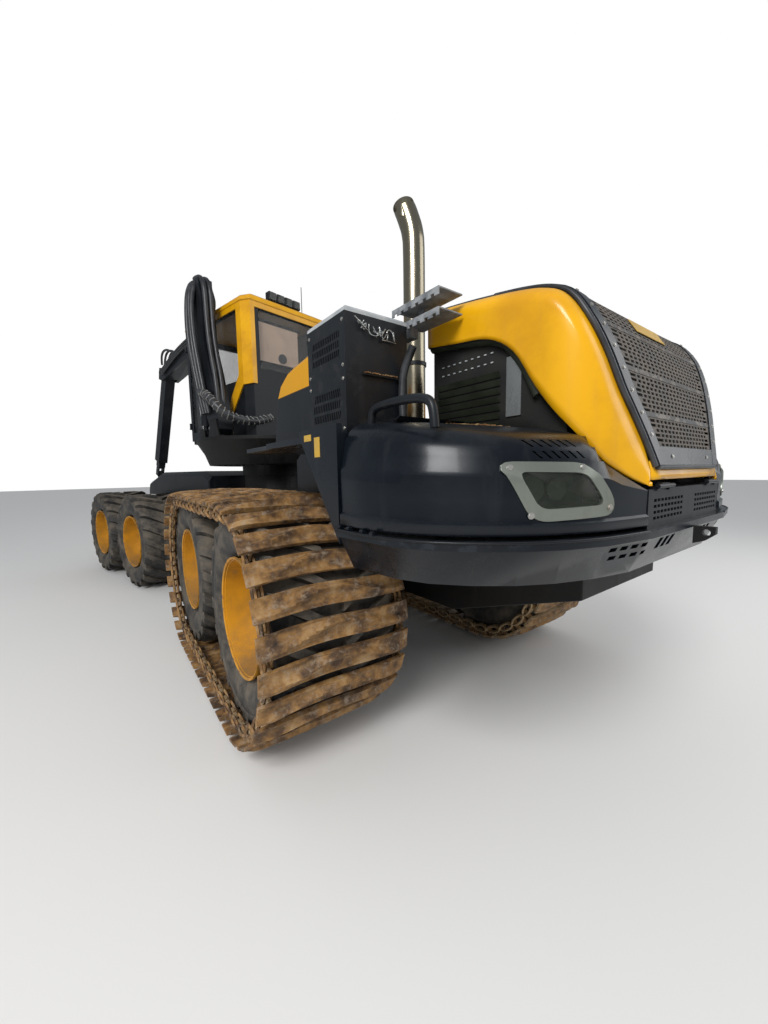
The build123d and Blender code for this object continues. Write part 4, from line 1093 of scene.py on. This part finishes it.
def slotWall(low, high):  # the outer wall with rows of slanted slots
    (y0, y1), x, rim = boxes["y"], boxes["x"][1], boxes["rim"]
    fieldLow, fieldHigh = low + boxes["margin"][0], high - boxes["margin"][1]
    step = (fieldHigh - fieldLow) / boxes["rows"]
    pitch = (y1 - y0 - boxes["slack"]) / boxes["count"]

    def face(z, y, lift):
        return Vector((x + lift, y + boxes["lean"] * (z - fieldLow - 0.07), z))

    first, web = y0 + boxes["first"], step * boxes["web"]
    start, end = y0 + boxes["edge"], y1 - boxes["edge"]
    holes = [(first + k * pitch, first + (k + boxes["open"]) * pitch) for k in range(boxes["count"])]
    rows = []
    for k in range(boxes["rows"]):
        z = fieldLow + step * k
        rows.append((z, z + web, start, end, []))
        rows.append((z + web, z + step, start, end, holes))
    shapes = lattice(face, rows, boxes["wall"])
    for edges in ((y0, y1, low, fieldLow), (y0, y1, fieldHigh, high),
                  (y0, y0 + rim, fieldLow, fieldHigh), (y1 - rim, y1, fieldLow, fieldHigh)):
        shapes.append(boxShape(x - boxes["wall"], x + 0.0004, *edges))
    return [facing(shape, (x - 0.1, 1.47, (low + high) / 2)) for shape in shapes]


def addBoxes():
    (x0, x1), (y0, y1), wall = boxes["x"], boxes["y"], boxes["wall"]
    inner = (x0 + wall, x1 - wall)
    for node in ("side_box_lower", "side_box_upper"):
        low, high = boxes[node.split("_")[2]]
        shapes = slotWall(low, high)
        shapes.append(boxShape(x0, x0 + wall, y0, y1, low, high))
        shapes.append(boxShape(*inner, y0, y0 + wall, low, high))
        shapes.append(boxShape(*inner, y1 - wall, y1, low, high))
        shapes.append(boxShape(*inner, y0 + wall, y1 - wall, low, low + wall))
        if "lower" in node:
            shapes.append(boxShape(*inner, y0 + wall, y1 - wall, high - wall, high))
        meshPiece(node + "_walls", shapes, "dark_paint", "chassis", slotOf(node), instead=node)
        spots = [Vector((x1, y, z)) for y in (y0 + 0.02, y1 - 0.02) for z in (low + 0.025, high - 0.03)]
        screws = boltShapes(spots, (1, 0, 0), 0.006, 0.004)
        meshPiece(node + "_screws", screws, "bolt", "chassis", slotOf(node))
    seam = boxShape(x0 + 0.06, x1 - 0.08, y1 - 0.001, y1 + 0.014, 1.99, 1.998)
    meshPiece("box_ledge", [seam], "frame_black", "chassis")
    spread = random.Random(4)
    for k in range(boxes["wires"]):
        start = Vector((1.13 - 0.025 * k, y1 + 0.001, 2.205 - 0.004 * k))
        points = []
        for j in range(6):
            aside = spread.uniform(-0.05, 0.02) * j / 3
            out = 0.004 + spread.uniform(0, 0.022)
            points.append(start + Vector((aside, out, spread.uniform(-0.05, 0.02) * (j > 0))))
        tube("box_wire", points, boxes["wireRadius"], "trim", "chassis", sides=1)
    tube("deck_pipe", boxes["pipe"], boxes["pipeRadius"], "hose", "chassis")
    for side, tag in ((1, "left"), (-1, "right")):
        handle = [(side * boxes["handleX"], y, z) for y, z in boxes["handle"]]
        tube("cover_handle", handle, boxes["handleRadius"], "dark_paint", f"cover_{tag}")


def flakes(count, seed, x, y, height, fall, size):  # small bent leaves and needles lying on a surface
    spread = random.Random(seed)
    shapes = []
    for k in range(count):
        a, b = spread.uniform(*x), spread.uniform(*y)
        spot = Matrix.Translation((a, b, height - fall * (b - 1.7) + 0.002))
        spot = spot @ Matrix.Rotation(spread.uniform(0, 6.28), 4, "Z")
        spot = spot @ Matrix.Rotation(spread.uniform(-0.4, 0.4), 4, "X")
        wide, long = size * spread.uniform(0.3, 0.8) / 2, size * spread.uniform(0.7, 1.6) / 2
        shapes.append(moved(boxShape(-long, long, -wide, wide, -0.001, 0.003), spot))
    return shapes


def addLitter():
    for name, (*look, body) in litter.items():
        meshPiece("litter_" + name, flakes(*look), "litter", body)
    shapes = [boxShape(1.2695, 1.2712, y - wide / 2, y + wide / 2, z - high / 2, z + high / 2)
              for y, z, wide, high in labels]
    meshPiece("deck_labels", shapes, "label", "chassis", "yellow_paint")


addBoxes()
addLitter()
print("boxes made")


# Under the hood: a dark sheet behind the arch with its seal, marks, louvres and a guard

bay = {"x": 0.648, "low": 1.7, "wall": 0.008, "seal": 0.026, "marks": (2.075, 2.035), "louvres": 8,
       "arch": [(1.6, 2.2), (1.78, 2.175), (1.96, 2.145), (2.05, 2.09), (2.12, 2.0), (2.17, 1.9),
                (2.215, 1.82), (2.29, 1.75)]}


def louvreShape(low):  # a slat that leans out at its top
    def slat(t, y, lift):
        return Vector((bay["x"] + 0.006 + lift + 0.014 * t, y, low + 0.022 * t))

    return facing(plateShape(slat, 0, 1, 1.64, 2.0, 0.003), hood["middle"])


def addBay():
    x, low, arch = bay["x"], bay["low"], smoothPath(bay["arch"], 4)
    sheet = facing(skin([[Vector((x, y, low + (z - low) * k / 3)) for y, z in arch] for k in range(4)]),
                   hood["middle"])
    marks = [boxShape(x + 0.0005, x + 0.004, 1.66 + 0.036 * k, 1.672 + 0.036 * k, z, z + 0.005)
             for z in bay["marks"] for k in range(9)]
    louvres = [louvreShape(low + 0.03 + 0.034 * row) for row in range(bay["louvres"])]
    guard = boxShape(x + 0.002, x + 0.006, 2.03, 2.1, 1.8, 2.04)
    for side in (-1, 1):
        thicken(meshPiece("bay_sheet", onSide([sheet], side), "bay", "chassis"), bay["wall"])
        seal = [(side * (x + 0.002), y, z - 0.014) for y, z in arch[:-7]]
        tube("bay_seal", seal, bay["seal"], "olive", "chassis")
        meshPiece("bay_marks", onSide(marks, side), "pale", "chassis")
        meshPiece("bay_louvres", onSide(louvres, side), "olive", "chassis")
        meshPiece("bay_guard", onSide([guard], side), "trim", "chassis")


addBay()


# Exhaust: a bent pipe cut off at a slant

stack = {"path": [(0.25, 1.0, 1.8503), (0.25, 1.0, 2.5), (0.25, 1.0, 3.0), (0.255, 0.994, 3.14),
                  (0.272, 0.972, 3.24), (0.29, 0.945, 3.325)],
         "radius": 0.072, "wall": 0.004, "open": (0.65, 0.76, 0), "slant": 1.5, "clampAt": 2.3,
         "clamp": [(-0.012, 0.072), (-0.012, 0.08), (0.012, 0.08), (0.012, 0.072)]}


def addStack():
    path = smoothPath(stack["path"], 8)
    last = len(path) - 1
    rings = {}
    for name, radius in (("outer", stack["radius"]), ("inner", stack["radius"] - stack["wall"])):
        rings[name] = [ringAround(path, k, radius, 40, (1, 0, 0)) for k in range(len(path))]
        for p in rings[name][last]:
            reach = (p - Vector(path[last])).dot(Vector(stack["open"])) * stack["slant"]
            p -= Vector((0.1, -0.12, 1)) * reach
    outer, inner = rings["outer"], rings["inner"]
    shape = loop(outer[:-4] + outer[-1:] + inner[-1:] + inner[12:-4][::-1], closed=False)
    meshPiece("exhaust_pipe", [shape], "stack_steel", "chassis", smooth=50, instead="exhaust")
    soot = [[p.lerp(Vector(path[k]), 0.03) for p in inner[k]] for k in (14, 20, 28, last - 5)]
    meshPiece("exhaust_soot", [loop(soot, closed=False, caps=False), fan(inner[14])], "bay", "chassis",
              smooth=50)
    x, y, z = stack["path"][0]
    stand = Matrix.Translation((x, y, stack["clampAt"])) @ Matrix.Rotation(math.pi / 2, 4, "Y")
    band = moved(turnedShape(stack["clamp"], 40), stand)
    meshPiece("exhaust_clamp", [band], "dark_paint", "chassis", "frame_black")


addStack()


# Crane: hoses on the arms and along the boom, in the crane's own axes

hoses = {"left": [(0.925, -0.06, 2.32), (0.95, -0.1, 2.55), (0.965, -0.17, 2.9), (0.975, -0.22, 3.25),
                  (0.965, -0.25, 3.6), (0.93, -0.27, 3.85), (0.84, -0.3, 3.99), (0.7, -0.38, 4.0),
                  (0.52, -0.62, 3.99), (0.33, -0.95, 3.985), (0.2, -1.35, 3.985)],
         "rear": [(0, 0.13, 2.42), (0, 0.115, 2.7), (0, 0.02, 3.05), (0, -0.03, 3.35), (0, -0.035, 3.7),
                  (0, -0.06, 3.88), (0, -0.16, 3.985), (-0.02, -0.32, 4.0)],
         "right": [(-0.93, -0.1, 2.4), (-0.94, -0.17, 2.9), (-0.94, -0.24, 3.5), (-0.9, -0.28, 3.88),
                   (-0.8, -0.33, 3.98), (-0.6, -0.5, 3.98), (-0.4, -0.85, 3.98)],
         "beam": [(-1.3, 3.93), (-1.8, 3.91), (-2.4, 3.85), (-2.9, 3.74), (-3.4, 3.58)],
         "tip": [(1, -3.1, 3.86), (1.3, -3.3, 3.97), (1.5, -3.52, 3.99), (1.4, -3.66, 3.9), (1, -3.7, 3.76)],
         "wrap": [(0.95, -0.12, 2.6), (1.0, 0.12, 2.52), (1.03, 0.3, 2.44), (1.0, 0.4, 2.34),
                  (0.9, 0.44, 2.26), (0.75, 0.45, 2.225), (0.58, 0.45, 2.22), (0.42, 0.445, 2.26),
                  (0.33, 0.43, 2.285)],
         "rearX": (0.79, 0.86), "beamX": 0.182, "tipX": (-0.05, 0, 0.05),
         "armRadius": 0.031, "rearRadius": 0.03, "thinRadius": 0.018, "tipRadius": 0.02,
         "bundle": 0.046, "spiral": 0.051, "spiralWire": 0.0075, "step": 0.045}


def hoseRun(name, points, radius, gap):  # three hoses side by side, none quite straight
    drift = random.Random(len(name))
    for k in range(3):
        spots = []
        for p in points:
            wander = Vector((drift.uniform(-1, 1), 0, drift.uniform(-1, 1))) * gap * 0.12
            spots.append(Vector(p) + Vector((0, (k - 1) * gap, 0)) + wander)
        tube(name, spots, radius, "hose", "boom", place=cranePlace)


def addHoses():
    hoseRun("arm_hose", hoses["left"], hoses["armRadius"], 0.068)
    for x in hoses["rearX"]:
        points = [(x + dx, y, z) for dx, y, z in hoses["rear"]]
        tube("arm_hose_rear", points, hoses["rearRadius"], "hose", "boom", place=cranePlace)
    hoseRun("arm_hose_right", hoses["right"], hoses["thinRadius"], hoses["step"])
    for side in (-1, 1):
        for k in range(3):
            points = [(side * hoses["beamX"], y, z - hoses["step"] * k) for y, z in hoses["beam"]]
            tube("beam_hose", points, hoses["thinRadius"], "hose", "boom", place=cranePlace)
    for x in hoses["tipX"]:
        points = [(x * share, y, z) for share, y, z in hoses["tip"]]
        tube("tip_hose", points, hoses["tipRadius"], "hose", "boom", place=cranePlace)
    wrap, up = hoses["wrap"], (0, 0, 1)
    path = smoothPath(wrap, 14)
    core = [ringAround(path, k, hoses["bundle"], 16, up) for k in range(len(path))]
    turns = [ringAround(path, k, hoses["spiral"], 16, up)[k * 3 % 16] for k in range(2, len(path) - 2)]
    band = [ringAround(turns, k, hoses["spiralWire"], 6, up) for k in range(len(turns))]
    for name, sections, material in (("wrapped_hoses", core, "hose"), ("hose_spiral", band, "wrap")):
        shape = loop(sections, closed=False)
        bundle = meshPiece(name, [shape], material, "upper", smooth=40, place=cranePlace)
        bundle.parent = None
        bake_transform(bundle)


# Cab: blind, speaker, roof lamps and aerial

cab = {"blind": (-0.15, 0.49, 2.97, 3.45), "rear": 0.39, "speaker": (0.1, 3.05), "lamps": 4,
       "firstLamp": -0.27, "lampStep": 0.125, "bar": (-0.33, 0.17, 0.19, 0.22), "feet": (-0.3, 0.14),
       "aerial": (-0.39, 0.2), "aerialTop": 4.155}


def addCabDetails():
    x0, x1, z0, z1 = cab["blind"]
    y = cab["rear"]
    blind = boxShape(x0, x1, y - 0.002, y + 0.002, z0, z1)
    meshPiece("cab_blind", [blind], "blind", "upper", "seat_fabric", place=cranePlace)
    rollers = [rodShape((x0 - 0.02, y, z1 + 0.005), (x1 + 0.02, y, z1 + 0.005), 0.018, 16),
               rodShape((x0, y, z0), (x1, y, z0), 0.008, 12)]
    meshPiece("blind_rollers", rollers, "dark_paint", "upper", "frame_black", place=cranePlace)
    x, z = cab["speaker"]
    speaker = [rodShape((x, 0.36, z), (x, 0.405, z), 0.06, 28),
               rodShape((x, 0.405, z), (x, 0.41, z), 0.035, 20)]
    meshPiece("cab_speaker", speaker, "hose", "upper", place=cranePlace)
    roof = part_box("cab_roof")[1][2]
    lamps, lenses = [boxShape(*cab["bar"], roof + 0.05, roof + 0.08)], []
    for x in cab["feet"]:
        lamps.append(boxShape(x - 0.012, x + 0.012, *cab["bar"][2:], roof - 0.03, roof + 0.06))
    for k in range(cab["lamps"]):
        x = cab["firstLamp"] + cab["lampStep"] * k
        lamps.append(boxShape(x - 0.056, x + 0.056, 0.16, 0.25, roof + 0.07, roof + 0.18))
        lenses.append(boxShape(x - 0.046, x + 0.046, 0.25, 0.256, roof + 0.08, roof + 0.17))
    bevel(meshPiece("roof_lamps", lamps, "dark_paint", "upper", "frame_black", place=cranePlace), 0.008)
    meshPiece("roof_lenses", lenses, "lamp_glass", "upper", place=cranePlace)
    ends = [(*cab["aerial"], roof - 0.02), (*cab["aerial"], min(cab["aerialTop"], roof + 0.45))]
    tube("aerial", ends, 0.005, "dark_paint", "upper", order=2, place=cranePlace)


addHoses()
addCabDetails()
print("crane and cab dressed")


# Nodes that keep their form get broken edges and their own paint; the glass and the rods get only their paint

edges = {"rear_frame": 0.006, "rear_axle": 0.006, "rear_bogies": 0.012, "engine": 0.01, "cooler": 0.01,
         "bumper": 0.006, "tow_eye": 0.003, "service_deck": 0.004, "hood_steps": 0.002, "box_lid": 0.002,
         "pump_cover": 0.02, "middle_frame": 0.01, "front_frame": 0.01, "front_tank": 0.02,
         "front_axle": 0.006, "front_bogies": 0.012, "slew_table": 0.01, "cab_shell": 0.008,
         "cab_pillars": 0.006, "cab_roof": 0.02, "cab_door": 0.005, "seat": 0.03, "lift_boom": 0.01,
         "lift_barrels": 0.003, "stick_barrel": 0.003, "stick": 0.006, "extension": 0.004, "link": 0.008,
         "rotator": 0.005, "head_frame": 0.008, "feed_roller_left": 0.004, "feed_roller_right": 0.004,
         "knife_left": 0.004, "knife_right": 0.004}
ownPaint = {"box_lid": "pale", "hood_steps": "step_grey", "pump_cover": "cheek_paint"}
keptNodes = ("cab_glass", "door_glass", "lift_rods", "stick_rod")


def dressNodes():
    for node, width in edges.items():
        dressed(node, width, ownPaint.get(node))
    for node in keptNodes:
        materials = frame["nodes"][node].data.materials
        materials.clear()
        materials.append(looks[slotOf(node)])
    print("nodes dressed")


dressNodes()


# Floor, world and lamps

stage = {"floor": (0.72, 0.71, 0.69), "world": 0.6, "mirror": 0.3, "target": (0, 0, 1.2),
         "lamps": {"key": ((7.5, 5.5, 8.0), 900, 4.0), "fill": ((-6.0, 6.0, 5.0), 200, 6.0)}}


def addStage():
    mesh = bpy.data.meshes.new("floor")
    mesh.from_pydata([(-60, -60, 0), (60, -60, 0), (60, 60, 0), (-60, 60, 0)], [], [(0, 1, 2, 3)])
    floor = bpy.data.objects.new("floor", mesh)
    bpy.context.scene.collection.objects.link(floor)
    material, start = newMaterial("floor")
    finishMaterial(start, {"Base Color": stage["floor"], "Roughness": 0.9})
    mesh.materials.append(material)

    world = bpy.data.worlds.new("world")
    bpy.context.scene.world = world
    world.use_nodes = True
    world.node_tree.nodes.clear()
    start = Wire(world.node_tree)
    seen, through, glossy = (start.make("LightPath", output=name)
                             for name in ("Is Camera Ray", "Is Transmission Ray", "Is Glossy Ray"))
    sky = start.make("Background", {}, {"Color": (0.93, 0.96, 1.0), "Strength": stage["world"]})
    mirror = start.make("Background", {}, {"Color": (0.86, 0.93, 1.0), "Strength": stage["mirror"]})
    shown = start.make("Background", {}, {"Color": (1.0, 1.0, 1.0), "Strength": 1.0})
    lit = start.make("MixShader", {}, {0: glossy, 1: sky, 2: mirror})
    mixed = start.make("MixShader", {}, {0: (seen + through).step(0, 1), 1: lit, 2: shown})
    start.make("OutputWorld", {}, {0: mixed}, None)

    for name, (place, power, size) in stage["lamps"].items():
        light = bpy.data.lights.new(name, "AREA")
        light.energy = power
        light.size = size
        stand = bpy.data.objects.new(name, light)
        stand.location = rearPlace @ Vector(place)
        aim = rearPlace @ Vector(stage["target"]) - stand.location
        stand.rotation_euler = aim.to_track_quat("-Z", "Y").to_euler()
        bpy.context.scene.collection.objects.link(stand)
    bpy.context.scene.view_settings.view_transform = "Standard"
    print("stage set")


addStage()
